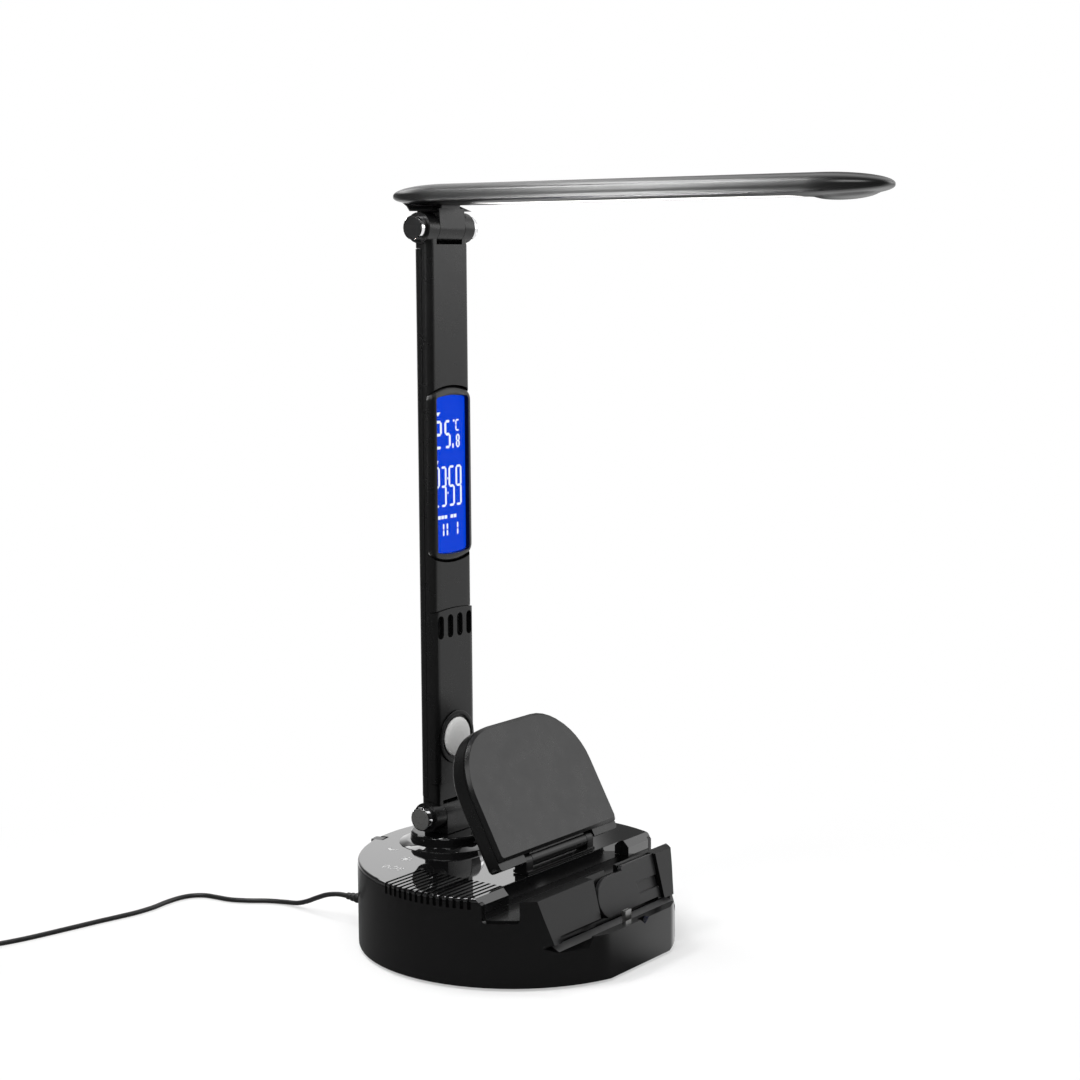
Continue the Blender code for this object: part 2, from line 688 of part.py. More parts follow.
def grooves():
    """Cutters for the fine grooves that cross the left rim and run down its edge."""
    tools = []
    for i in range(GROOVE_COUNT):
        middle = GROOVE_FIRST_Y + i * GROOVE_PITCH
        near = middle - GROOVE_WIDTH / 2
        far = middle + GROOVE_WIDTH / 2
        top = BASE_HEIGHT + OVERRUN
        widest = max(abs(near), abs(far))
        edge = -math.sqrt(BASE_RADIUS**2 - widest**2) + GROOVE_DEPTH
        outline = (
            (-BASE_RADIUS - OVERRUN, GROOVE_FOOT),
            (edge, GROOVE_FOOT),
            (edge, BASE_HEIGHT - GROOVE_DEPTH),
            (GROOVE_INNER_X, BASE_HEIGHT - GROOVE_DEPTH),
            (GROOVE_INNER_X, top),
            (-BASE_RADIUS - OVERRUN, top),
        )
        tools.append(prism(outline, near, far, "Y"))
    return tools


def button_box(half_width, inner, outer, low, high, corner):
    """Rounded block at the rear rim, square to the rim."""
    outline = rounded_box((-half_width, inner), (half_width, outer), corner)
    return moved(prism(outline, low, high), BUTTON_FRAME)


def dock_recess():
    depth = DOCK_SETBACK + DOCK_THICKNESS + GAP
    low = (RECESS_LEFT, -OVERRUN, -BASE_HEIGHT)
    high = (RECESS_RIGHT, depth, OVERRUN * 2)
    mesh = moved(box(low, high), WALL_FRAME)
    return mesh


def lip_end(side):
    """Space beside the lip, whose end slopes down to the trough's floor."""
    above = LIP_TOP + OVERRUN
    far = BASE_RADIUS + OVERRUN
    outline = (
        (side * LIP_HALF_WIDTH, above),
        (side * LIP_HALF_WIDTH, LIP_TOP),
        (side * (LIP_HALF_WIDTH + LIP_RAMP), TROUGH_FLOOR),
        (side * far, TROUGH_FLOOR),
        (side * far, above),
    )
    return prism(outline, -far, LIP_INNER + OVERRUN, "Y")


def lip_notch():
    """Small V in the lip's outer top edge."""
    y = -FLAT_DISTANCE
    outline = (
        (LIP_NOTCH_X - LIP_NOTCH_HALF, LIP_TOP + GAP),
        (LIP_NOTCH_X, LIP_TOP - LIP_NOTCH_DEPTH),
        (LIP_NOTCH_X + LIP_NOTCH_HALF, LIP_TOP + GAP),
    )
    return prism(outline, y - OVERRUN, y + LIP_NOTCH_DEPTH, "Y")


def dock_notch():
    """Cable notch through the wall above the disc."""
    low = (DOCK_STEP_X - DOCK_NOTCH_WIDTH, wall_face_y(WALL_TOP) - OVERRUN, WALL_TOP - DOCK_NOTCH_DEPTH)
    high = (DOCK_STEP_X, SLOT_FRONT + OVERRUN, BASE_HEIGHT + OVERRUN)
    return box(low, high)


def boss_places():
    return [(BOSS_DISTANCE * math.cos(a), BOSS_DISTANCE * math.sin(a)) for a in BOSS_ANGLES]


def make_housing():
    """Side wall, slanted dock wall, trough and lip, moulded as one."""
    outline = base_outline(0)
    housing = piece(
        "base_housing",
        stack(
            [
                (base_outline(FOOT_ROUND), HOUSING_FOOT),
                (base_outline(FOOT_ROUND * (1 - math.sqrt(0.5))), HOUSING_FOOT + FOOT_ROUND * (1 - math.sqrt(0.5))),
                (outline, HOUSING_FOOT + FOOT_ROUND),
                (outline, WALL_TOP),
            ]
        ),
        SATIN_BLACK,
    )
    cut(housing, prism(base_outline(HOUSING_WALL), HOUSING_FOOT - OVERRUN, WALL_TOP + OVERRUN))
    front_block = (
        (SLOT_FRONT, WALL_TOP),
        (-BASE_RADIUS - OVERRUN, WALL_TOP),
        (-BASE_RADIUS - OVERRUN, TROUGH_FLOOR - TROUGH_THICKNESS),
        (SLOT_FRONT, TROUGH_FLOOR - TROUGH_THICKNESS),
    )
    block = prism(front_block, -BASE_RADIUS - OVERRUN, BASE_RADIUS + OVERRUN, "X")
    join(housing, within_outline(block, HOUSING_WALL / 2, "front_block"))
    for x, y in boss_places():
        join(housing, rod(BOSS_RADIUS, PLATE_TOP + GAP, SLOT_EDGE_FLOOR - TRAY_THICKNESS, "Z", (x, y)))
    wide = BASE_RADIUS + OVERRUN
    cut(
        housing,
        box((-wide, SLOT_REAR - GAP, SEAM_HEIGHT), (wide, wide, BASE_HEIGHT + OVERRUN)),
        slot_opening(wide, SLOT_REAR, SLOT_EDGE_FLOOR),
        slot_chamfer(),
        front_opening(-wide, UNDERCUT_LEFT + OVERRUN, END_WALL_FOOT, LEDGE_BACK + OVERRUN / 8),
        front_opening(UNDERCUT_LEFT, RECESS_LEFT, LEFT_WALL_FOOT, TROUGH_BACK),
        front_opening(RECESS_LEFT - OVERRUN, RECESS_RIGHT, RIGHT_WALL_FOOT, TROUGH_BACK),
        front_opening(RECESS_RIGHT - OVERRUN, wide, END_WALL_FOOT, LEDGE_BACK + OVERRUN / 8),
        dock_recess(),
        dock_notch(),
        lip_notch(),
    )
    cut(housing, lip_end(-1), lip_end(1))
    cut(housing, *grooves())
    for x, y in boss_places():
        bore = SCREW_RADIUS + GAP
        cut(housing, rod(bore, PLATE_TOP - OVERRUN, PLATE_BOTTOM + SCREW_LENGTH + GAP, "Z", (x, y)))
    cut(housing, rod(INLET_BORE, 0, BASE_RADIUS + OVERRUN, "Y", (INLET_X, INLET_HEIGHT)))
    cut(
        housing,
        button_box(
            BUTTON_HALF_WIDTH + GAP,
            BASE_RADIUS - BUTTON_DEPTH,
            BASE_RADIUS + OVERRUN,
            BUTTON_LOW - GAP,
            BASE_HEIGHT + OVERRUN,
            BUTTON_CORNER,
        ),
    )
    return housing


def within_outline(mesh, inset, name):
    """The part of a mesh that lies inside the base outline."""
    return combined(mesh, "INTERSECT", prism(base_outline(inset), -OVERRUN, BASE_HEIGHT + OVERRUN), name)


def combined(mesh, operation, other, name):
    """Mesh of a Boolean between two meshes."""
    target = new_object(f"{name}_source", mesh)
    tool = new_object(f"{name}_limit", other)
    modifier = target.modifiers.new(operation.title(), "BOOLEAN")
    modifier.object = tool
    modifier.operation = operation
    bpy.context.view_layer.update()
    graph = bpy.context.evaluated_depsgraph_get()
    result = bmesh.new()
    result.from_object(target, graph)
    for helper in (target, tool):
        bpy.data.objects.remove(helper)
    return result


def make_cover():
    """Glossy top cover with its grooves, the collar round the turntable and the rail behind the slot."""
    edge = COVER_EDGE_ROUND
    levels = [(base_outline(0), COVER_BOTTOM), (base_outline(0), BASE_HEIGHT - edge)]
    for i in range(1, CORNER_STEPS):
        angle = math.pi / 2 * i / (CORNER_STEPS - 1)
        inset = edge * (1 - math.cos(angle))
        levels.append((base_outline(inset), BASE_HEIGHT - edge + edge * math.sin(angle)))
    cover = piece("top_cover", stack(levels), GLOSS_BLACK)
    wide = BASE_RADIUS + OVERRUN
    rail = box((-wide, SLOT_REAR, TRAY_TOP + GAP), (wide, RAIL_REAR, COVER_BOTTOM + edge))
    join(cover, within_outline(rail, HOUSING_WALL + GAP, "rail"))
    centre = (0, SWIVEL_Y)
    collar = stack(
        [
            (circle(COLLAR_FOOT_RADIUS, ROUND_STEPS, centre), BASE_HEIGHT - edge),
            (circle(COLLAR_FOOT_RADIUS, ROUND_STEPS, centre), BASE_HEIGHT + COLLAR_RISE / 8),
            (circle(COLLAR_TOP_RADIUS, ROUND_STEPS, centre), BASE_HEIGHT + COLLAR_RISE),
        ]
    )
    join(cover, collar)
    cut(
        cover,
        box((-wide, -wide, 0), (wide, SLOT_REAR, BASE_HEIGHT + OVERRUN)),
        box((-PIT_HALF_WIDTH, SLOT_REAR - OVERRUN, 0), (PIT_HALF_WIDTH, PIT_REAR, BASE_HEIGHT + OVERRUN)),
        slot_chamfer(),
        rod(TURNTABLE_RADIUS + GAP, BASE_HEIGHT, BASE_HEIGHT + OVERRUN, "Z", centre, ROUND_STEPS),
        rod(SPINDLE_RADIUS + GAP, COVER_BOTTOM - OVERRUN, BASE_HEIGHT + OVERRUN, "Z", centre),
        *grooves(),
    )
    cut(
        cover,
        button_box(
            BUTTON_HALF_WIDTH + GAP,
            BASE_RADIUS - BUTTON_DEPTH,
            BASE_RADIUS + OVERRUN,
            0,
            BASE_HEIGHT + OVERRUN,
            BUTTON_CORNER,
        ),
    )
    return cover


def make_tray():
    """Liner of the phone slot."""
    wide = BASE_RADIUS + OVERRUN
    block = box((-wide, SLOT_FRONT + GAP, SLOT_FLOOR - TRAY_THICKNESS), (wide, RAIL_REAR, TRAY_TOP))
    tray = piece("phone_tray", within_outline(block, HOUSING_WALL + GAP, "tray"), SATIN_BLACK)
    low = -BASE_RADIUS
    cut(
        tray,
        box((-wide, low, SLOT_FLOOR), (wide, SLOT_REAR, TRAY_TOP + OVERRUN)),
        box((-PIT_HALF_WIDTH, low, SLOT_FLOOR), (PIT_HALF_WIDTH, PIT_REAR, TRAY_TOP + OVERRUN)),
    )
    return tray


def make_dock_plate():
    """Plate in the recess of the slanted wall: a disc at its left end and a bar with a finger grip."""
    left = DOCK_DISC_X
    right = RECESS_RIGHT - GAP
    radius = DOCK_DISC_RADIUS
    middle = -DOCK_DISC_DOWN
    foot_angle = math.asin((DOCK_BOTTOM - DOCK_DISC_DOWN) / radius)
    step = DOCK_STEP_X
    chamfer = DOCK_STEP_CHAMFER
    outline = [(right, -DOCK_BOTTOM), (right, DOCK_TOP_RISE), (step + chamfer, DOCK_TOP_RISE)]
    outline += [(step, DOCK_TOP_RISE - chamfer), (step, radius + middle)]
    outline += arc((left, middle), radius, math.pi / 2, math.pi + foot_angle, ROUND_STEPS // 2)
    near = DOCK_SETBACK
    far = DOCK_SETBACK + DOCK_THICKNESS
    plate = piece("dock_plate", moved(prism(outline, near, far, "Y"), WALL_FRAME), GREY_BLACK)
    slope = (GRIP_BOTTOM_DOWN - GRIP_TOP_DOWN) / 5
    grip_left = RECESS_RIGHT - GRIP_LENGTH
    grip = (
        (grip_left, -GRIP_TOP_DOWN),
        (grip_left + slope, -GRIP_BOTTOM_DOWN),
        (right + OVERRUN, -GRIP_BOTTOM_DOWN),
        (right + OVERRUN, -GRIP_TOP_DOWN),
    )
    cut(plate, moved(prism(grip, near - OVERRUN, near + GRIP_DEPTH, "Y"), WALL_FRAME))
    return plate


def make_connector():
    """Charging plug that stands in the trough for earphones."""
    low = TROUGH_FLOOR + GAP
    half = CONNECTOR_DEPTH / 2
    outline = rounded_box(
        (-CONNECTOR_HALF_WIDTH, CONNECTOR_Y - half), (CONNECTOR_HALF_WIDTH, CONNECTOR_Y + half), half / 2, 3
    )
    connector = piece("dock_connector", prism(outline, low, CONNECTOR_TOP), SATIN_METAL)
    rim = CONNECTOR_RIM
    socket = box(
        (-CONNECTOR_HALF_WIDTH + rim, CONNECTOR_Y - half + rim, CONNECTOR_TOP - CONNECTOR_SOCKET_DEPTH),
        (CONNECTOR_HALF_WIDTH - rim, CONNECTOR_Y + half - rim, CONNECTOR_TOP + OVERRUN),
    )
    cut(connector, socket)
    return connector


def make_underside():
    piece("base_pad", prism(base_outline(PAD_INSET), 0, PAD_THICKNESS), RUBBER_BLACK)
    plate = piece(
        "base_plate", prism(base_outline(HOUSING_WALL + GAP), PLATE_BOTTOM, PLATE_TOP), SATIN_BLACK
    )
    for number, (x, y) in enumerate(boss_places(), 1):
        head_top = PLATE_BOTTOM + SCREW_HEAD_DEPTH
        head = circle(SCREW_HEAD_RADIUS, SMALL_STEPS, (x, y))
        shank = circle(SCREW_RADIUS, SMALL_STEPS, (x, y))
        tip = PLATE_BOTTOM + SCREW_LENGTH
        levels = [(head, PLATE_BOTTOM), (head, head_top), (shank, head_top + GAP), (shank, tip)]
        piece(f"plate_screw_{number}", stack(levels), STEEL)
        bore = SCREW_RADIUS + GAP
        cut(plate, rod(bore, PLATE_BOTTOM - OVERRUN, PLATE_TOP + OVERRUN, "Z", (x, y)))
        sink = rod(SCREW_HEAD_RADIUS + GAP, PLATE_BOTTOM - OVERRUN, head_top + GAP * 2, "Z", (x, y))
        cut(plate, sink)
    for x, y in standoff_places():
        join(plate, rod(STANDOFF_RADIUS, PLATE_TOP - GAP, BOARD_HEIGHT - GAP, "Z", (x, y), 12))
    piece(
        "ballast_ring", washer(BALLAST_OUTER, BALLAST_INNER, BALLAST_BOTTOM, BALLAST_TOP), IRON
    )
    piece(
        "main_board",
        box((-BOARD_HALF, -BOARD_HALF, BOARD_HEIGHT), (BOARD_HALF, BOARD_HALF, BOARD_HEIGHT + BOARD_THICKNESS)),
        BOARD_GREEN,
    )


def standoff_places():
    reach = BOARD_HALF - STANDOFF_INSET
    return [(x, y) for x in (-reach, reach) for y in (-reach, reach)]


def make_speaker():
    """Speaker under the grooves, hung from the cover."""
    top = COVER_BOTTOM - GAP
    cone = circle(SPEAKER_RADIUS, ROUND_STEPS, SPEAKER_CENTRE)
    magnet = circle(SPEAKER_MAGNET_RADIUS, ROUND_STEPS, SPEAKER_CENTRE)
    levels = [(magnet, top - SPEAKER_DEPTH), (magnet, top - SPEAKER_DEPTH / 2), (cone, top - SPEAKER_DEPTH / 4), (cone, top)]
    piece("speaker", stack(levels), SATIN_BLACK)


def make_button(carrier):
    """Power button set into the rear rim."""
    button = button_box(
        BUTTON_HALF_WIDTH,
        BASE_RADIUS - BUTTON_DEPTH + BUTTON_TRAVEL + GAP,
        BASE_RADIUS + BUTTON_PROUD,
        BUTTON_LOW,
        BUTTON_TOP,
        BUTTON_CORNER,
    )
    piece("power_button", button, GLOSS_BLACK, carrier)


def make_inlet():
    """Power inlet behind the rear wall."""
    back = math.sqrt((BASE_RADIUS - HOUSING_WALL) ** 2 - (abs(INLET_X) + INLET_BODY_HALF) ** 2) - GAP
    half = INLET_BODY_HALF
    body = box(
        (INLET_X - half, back - INLET_BODY_LENGTH, INLET_HEIGHT - half), (INLET_X + half, back, INLET_HEIGHT + half)
    )
    inlet = piece("power_inlet", body, SATIN_BLACK)
    barrel = INLET_BORE - GAP
    centre = (INLET_X, INLET_HEIGHT)
    join(inlet, rod(barrel, back - OVERRUN / 2, plug_face_y(), "Y", centre))
    return inlet


def plug_face_y():
    """Where the inlet's face meets the cord's plug, just inside the rear wall."""
    return math.sqrt(BASE_RADIUS**2 - (abs(INLET_X) + INLET_BORE) ** 2) - GAP


# Turntable, hinges and stem


def hinge_end(height, side, end):
    """Round ear on one side of a hinge, and the web that joins it to the end of the stem."""
    low, high = sorted((side * EAR_INNER, side * EAR_OUTER))
    ear = rod(HINGE_RADIUS, low, high, "X", (SWIVEL_Y, height), ROUND_STEPS)
    limits = sorted((side * EAR_INNER, side * (STEM_HALF_WIDTH - WEB_INSET)))
    inset = WEB_INSET
    outline = [
        (min(max(x, limits[0]), limits[1]), y) for x, y in stem_outline(inset) if limits[0] <= x <= limits[1]
    ]
    outline += [(side * EAR_INNER, STEM_REAR - inset), (side * EAR_INNER, STEM_FRONT + inset)][:: side]
    span = sorted((height, end + math.copysign(STEM_END_WALL * 2 / 3, end - height)))
    return ear, prism(outline, span[0], span[1])


def make_hinge_hardware(prefix, axis_height, face_look, carrier):
    """Pin and the two round caps of a hinge."""
    centre = (SWIVEL_Y, axis_height)
    piece(f"{prefix}_hinge_pin", rod(PIN_RADIUS, -EAR_OUTER, EAR_OUTER, "X", centre), STEEL, carrier)
    start = EAR_OUTER + GAP
    end = start + CAP_LENGTH
    for side, word in ((-1, "left"), (1, "right")):
        low, high = sorted((side * start, side * end))
        cap = piece(f"{prefix}_{word}_cap_ring", rod(CAP_RADIUS, low, high, "X", centre, ROUND_STEPS), CHROME, carrier)
        inside, outside = sorted((side * (end - CAP_RECESS), side * (end + OVERRUN)))
        cut(cap, rod(CAP_FACE_RADIUS + GAP, inside, outside, "X", centre, ROUND_STEPS))
        seat = end - CAP_RECESS + GAP
        low, high = sorted((side * seat, side * (seat + CAP_FACE_THICKNESS)))
        piece(f"{prefix}_{word}_cap_face", rod(CAP_FACE_RADIUS, low, high, "X", centre, ROUND_STEPS), face_look, carrier)


def make_turntable(carrier):
    centre = (0, SWIVEL_Y)
    round_off = TURNTABLE_ROUND
    levels = [
        (circle(SPINDLE_RADIUS, ROUND_STEPS, centre), TURNTABLE_BOTTOM - SPINDLE_LENGTH),
        (circle(SPINDLE_RADIUS, ROUND_STEPS, centre), TURNTABLE_BOTTOM),
        (circle(TURNTABLE_RADIUS, ROUND_STEPS, centre), TURNTABLE_BOTTOM),
        (circle(TURNTABLE_RADIUS, ROUND_STEPS, centre), TURNTABLE_TOP - round_off),
        (circle(TURNTABLE_RADIUS - round_off, ROUND_STEPS, centre), TURNTABLE_TOP),
    ]
    piece("turntable", stack(levels), GLOSS_BLACK, carrier)
    nut_top = COVER_BOTTOM - GAP
    nut = washer(NUT_RADIUS, SPINDLE_RADIUS + GAP, nut_top - NUT_THICKNESS, nut_top, "Z", centre)
    piece("turntable_nut", nut, STEEL, carrier)
    outline = [(SWIVEL_Y + HINGE_RADIUS, KNUCKLE_BOTTOM)]
    outline += arc((SWIVEL_Y, HINGE_HEIGHT), HINGE_RADIUS, 0, math.pi, ROUND_STEPS // 2)
    outline.append((SWIVEL_Y - HINGE_RADIUS, KNUCKLE_BOTTOM))
    knuckle = piece(
        "hinge_knuckle", prism(outline, -TONGUE_HALF_WIDTH, TONGUE_HALF_WIDTH, "X"), GREY_BLACK, carrier
    )
    cut(knuckle, pin_hole(HINGE_HEIGHT))


def pin_hole(height):
    wide = EAR_OUTER + OVERRUN
    return rod(PIN_BORE, -wide, wide, "X", (SWIVEL_Y, height))


def stem_outline(inset):
    low = (-STEM_HALF_WIDTH + inset, STEM_FRONT + inset)
    high = (STEM_HALF_WIDTH - inset, STEM_REAR - inset)
    return rounded_box(low, high, STEM_CORNER - inset)


def stem_solid():
    return prism(stem_outline(0), STEM_BOTTOM, STEM_TOP)


def stem_cavity():
    return prism(stem_outline(STEM_WALL), STEM_BOTTOM + STEM_END_WALL, STEM_TOP - STEM_END_WALL)


def half_space(front):
    """Block that removes the front or the rear half of the stem."""
    wide = STEM_HALF_WIDTH + OVERRUN
    deep = STEM_HALF_DEPTH + OVERRUN
    low_y, high_y = (-deep, GAP / 2) if front else (-GAP / 2, deep)
    low = (-wide, SWIVEL_Y + low_y, STEM_BOTTOM - OVERRUN)
    high = (wide, SWIVEL_Y + high_y, STEM_TOP + OVERRUN)
    return box(low, high)


def vent_outline(x, grow=0):
    half = VENT_HALF_WIDTH + grow
    return rounded_box((x - half, VENT_LOW - grow), (x + half, VENT_HIGH + grow), half * 0.96, 4)


def vent_places():
    start = -VENT_PITCH * (VENT_COUNT - 1) / 2
    return [start + i * VENT_PITCH for i in range(VENT_COUNT)]


def make_stem(carrier):
    """Front shell, which carries the hinge ears, and the rear shell that closes it."""
    rear = piece("stem_rear_shell", stem_solid(), SATIN_BLACK, carrier)
    cut(rear, stem_cavity(), half_space(front=True))
    join(rear, rear_ridge(STEM_TOP, 1), rear_ridge(STEM_BOTTOM, -1))
    front = piece("stem_front_shell", stem_solid(), SATIN_BLACK, carrier)
    cut(front, stem_cavity(), half_space(front=False), bezel_pocket(), panel_wrap(GAP, "panel_pocket"))
    for x in vent_places():
        cut(front, prism(vent_outline(x), STEM_FRONT - OVERRUN, STEM_FRONT + STEM_WALL + GAP, "Y"))
    for height, end in ((HINGE_HEIGHT, STEM_BOTTOM), (UPPER_HINGE_HEIGHT, STEM_TOP)):
        for side in (-1, 1):
            ear, web = hinge_end(height, side, end)
            join(front, ear, web)
        cut(front, pin_hole(height))
        cut(rear, web_clearance(height, end, -1), web_clearance(height, end, 1))
    make_hinge_hardware("lower", HINGE_HEIGHT, SATIN_METAL, carrier)
    make_hinge_hardware("upper", UPPER_HINGE_HEIGHT, GLOSS_BLACK, carrier)


def web_clearance(height, end, side):
    """Room in the rear shell for the web of one ear."""
    ends = sorted((side * (EAR_INNER - GAP), side * (STEM_HALF_WIDTH + OVERRUN)))
    span = sorted((height, end + math.copysign(STEM_END_WALL * 2 / 3 + GAP, end - height)))
    return box((ends[0], SWIVEL_Y - GAP, span[0]), (ends[1], STEM_REAR + OVERRUN, span[1]))


def rear_ridge(end, outward):
    """Ridge on the rear edge of one end of the stem, clear of the round of the hinge."""
    span = sorted((end - outward * STEM_END_WALL / 2, end + outward * RIDGE_RISE))
    half = TONGUE_HALF_WIDTH - GAP
    back = STEM_REAR - WEB_INSET
    return box((-half, back - RIDGE_THICKNESS, span[0]), (half, back, span[1]))


def bezel_outline(inset):
    half = STEM_HALF_WIDTH + BEZEL_PROUD - inset
    corner = max(BEZEL_CORNER - inset, BEZEL_CORNER / 4)
    return bowed_box(half, BEZEL_LOW + inset, BEZEL_HIGH - inset, BEZEL_RISE, corner)


def bezel_pocket():
    return prism(bezel_outline(-GAP), STEM_FRONT - OVERRUN, BEZEL_BACK + GAP, "Y")


def window_outline(grow):
    low = WINDOW_LOW - grow
    high = WINDOW_HIGH + grow
    return bowed_box(WINDOW_HALF_WIDTH + grow, low, high, WINDOW_RISE, WINDOW_CORNER)


def make_display(carrier):
    """Rounded bezel with the lens and the display in its window, and the board behind it."""
    levels = []
    for i in range(CORNER_STEPS):
        angle = math.pi / 2 * i / (CORNER_STEPS - 1)
        inset = BEZEL_ROUND * (1 - math.sin(angle))
        levels.append((bezel_outline(inset), BEZEL_FRONT + BEZEL_ROUND * (1 - math.cos(angle))))
    levels.append((bezel_outline(0), BEZEL_BACK))
    bezel = piece("display_bezel", stack(levels, "Y"), GLOSS_BLACK, carrier)
    cut(bezel, prism(window_outline(0), BEZEL_FRONT - OVERRUN, BEZEL_BACK + OVERRUN, "Y"))
    lens_front = BEZEL_FRONT + LENS_RECESS
    lens_back = lens_front + LENS_THICKNESS
    fitted = window_outline(-GAP)
    piece("display_lens", prism(fitted, lens_front, lens_back, "Y"), CLEAR, carrier)
    lcd_back = lens_back + GAP + LCD_THICKNESS
    piece("clock_display", prism(fitted, lens_back + GAP, lcd_back, "Y"), DISPLAY_BLUE, carrier)
    board_front = BEZEL_BACK + GAP
    outline = window_outline(CLOCK_BOARD_BORDER)
    board = prism(outline, board_front, board_front + CLOCK_BOARD_THICKNESS, "Y")
    piece("clock_board", board, BOARD_GREEN, carrier)


def panel_wrap(grow, name):
    """Shape of the panel, which wraps round the stem's front corners, larger by grow."""
    half = STEM_HALF_WIDTH + OVERRUN
    arched = bowed_box(half, PANEL_LOW - grow, PANEL_HIGH + grow, PANEL_RISE, PANEL_RISE)
    block = prism(arched, STEM_FRONT - OVERRUN, PANEL_EDGE + grow, "Y")
    low = PANEL_LOW - OVERRUN
    high = PANEL_HIGH + OVERRUN
    if not grow:
        block = combined(block, "INTERSECT", prism(stem_outline(-PANEL_PROUD), low, high), name)
    return combined(block, "DIFFERENCE", prism(stem_outline(PANEL_SINK + grow), low, high), name)


def make_panel(carrier):
    """Raised panel with the vents, and the motion sensor on it."""
    panel = piece("vent_panel", panel_wrap(0, "panel"), SATIN_BLACK, carrier)
    for x in vent_places():
        cut(panel, prism(vent_outline(x), PANEL_FRONT - OVERRUN, PANEL_BACK + OVERRUN, "Y"))
    centre = (0, SENSOR_HEIGHT)
    back = PANEL_FRONT - GAP
    ring = washer(RING_OUTER, RING_INNER, back - RING_THICKNESS, back, "Y", centre)
    piece("sensor_ring", ring, GREY_BLACK, carrier)
    levels = [(circle(SENSOR_RADIUS, ROUND_STEPS, centre), back)]
    for i in range(CORNER_STEPS):
        angle = math.pi / 2 * i / CORNER_STEPS
        radius = SENSOR_RADIUS * math.cos(angle)
        levels.append((circle(radius, ROUND_STEPS, centre), back - SENSOR_RIM - SENSOR_BULGE * math.sin(angle)))
    piece("motion_sensor", stack(levels, "Y"), SENSOR_WHITE, carrier)


# Head


def head_stations(inset):
    """Places along the head with the share of its full section there."""
    tip = HEAD_TIP - inset
    stations = []
    for i in range(HEAD_TIP_STEPS):
        angle = math.radians(88) * (1 - i / HEAD_TIP_STEPS)
        stations.append((HEAD_STRAIGHT_REAR + tip * math.sin(angle), math.cos(angle)))
    stations.append((HEAD_STRAIGHT_REAR, 1))
    stations.append((HEAD_STRAIGHT_FRONT, 1))
    for i in range(1, HEAD_TIP_STEPS + 1):
        angle = math.radians(88) * i / HEAD_TIP_STEPS
        stations.append((HEAD_STRAIGHT_FRONT - tip * math.sin(angle), math.cos(angle)))
    return stations


def half_section(half_width, height, power):
    """Half of a superellipse, from its right edge over to its left edge."""
    points = []
    for i in range(HEAD_SECTION_STEPS + 1):
        angle = math.pi * i / HEAD_SECTION_STEPS
        x = math.copysign(abs(math.cos(angle)) ** (2 / power), math.cos(angle))
        z = abs(math.sin(angle)) ** (2 / power)
        points.append((half_width * x, height * z))
    return points


def head_half(upper, inset, split):
    """Upper or lower half of the head's long lens shape. Split lifts its flat side off the middle."""
    height = HEAD_RISE - inset if upper else inset - HEAD_DROP
    power = HEAD_TOP_POWER if upper else HEAD_BOTTOM_POWER
    middle = HEAD_CENTRE_HEIGHT + (split if upper else -split)
    rings = []
    for y, share in head_stations(inset):
        section = half_section((HEAD_HALF_WIDTH - inset) * share, height * share, power)
        rings.append([(x, y, middle + z) for x, z in section])
    return loft(rings)


def head_cavity(upper):
    """Hollow of one half, open at the split."""
    return head_half(upper, HEAD_WALL, -GAP / 4)


def make_head(carrier):
    top = piece("head_top_shell", head_half(True, 0, GAP / 2), SATIN_BLACK, carrier)
    cut(top, head_cavity(True))
    bottom = piece("head_bottom_shell", head_half(False, 0, GAP / 2), SATIN_BLACK, carrier)
    opening = rounded_box(
        (-DIFFUSER_HALF_WIDTH, DIFFUSER_FRONT), (DIFFUSER_HALF_WIDTH, DIFFUSER_REAR), DIFFUSER_CORNER
    )
    low = HEAD_BOTTOM - OVERRUN
    cut(bottom, head_cavity(False), prism(opening, low, HEAD_CENTRE_HEIGHT))
    stub_hole = stub_box(GAP, low, HEAD_CENTRE_HEIGHT)
    cut(bottom, stub_hole)
    diffuser_low = HEAD_BOTTOM + DIFFUSER_RECESS
    diffuser_high = diffuser_low + DIFFUSER_THICKNESS
    outline = rounded_box(
        (-DIFFUSER_HALF_WIDTH + GAP, DIFFUSER_FRONT + GAP),
        (DIFFUSER_HALF_WIDTH - GAP, DIFFUSER_REAR - GAP),
        DIFFUSER_CORNER,
    )
    piece("light_diffuser", prism(outline, diffuser_low, diffuser_high), WARM_WHITE, carrier)
    margin = LIGHT_BOARD_MARGIN
    board = box(
        (-DIFFUSER_HALF_WIDTH + margin, DIFFUSER_FRONT + margin, diffuser_high + GAP),
        (DIFFUSER_HALF_WIDTH - margin, DIFFUSER_REAR - margin, diffuser_high + GAP + LIGHT_BOARD_THICKNESS),
    )
    piece("light_board", board, SATIN_METAL, carrier)
    make_nose(carrier)
    make_neck(carrier)


def make_nose(carrier):
    """Smooth swelling under the front end of the head."""
    top = HEAD_CENTRE_HEIGHT - HEAD_DROP / 2
    levels = [(nose_outline(1), top)]
    for i in range(NOSE_STEPS + 1):
        angle = math.radians(85) * i / NOSE_STEPS
        levels.append((nose_outline(math.cos(angle)), HEAD_BOTTOM - NOSE_DROP * math.sin(angle)))
    nose = piece("head_nose", stack(levels), SATIN_BLACK, carrier)
    cut(nose, head_half(False, -GAP, 0))


def nose_outline(share):
    points = []
    for x, y in circle(1, ROUND_STEPS):
        points.append((x * NOSE_HALF_WIDTH * share, NOSE_CENTRE + y * NOSE_HALF_LENGTH * share))
    return points


def stub_box(grow, low, high):
    half_x = STUB_HALF_WIDTH + grow
    half_y = STUB_HALF_LENGTH + grow
    return box((-half_x, SWIVEL_Y - half_y, low), (half_x, SWIVEL_Y + half_y, high))


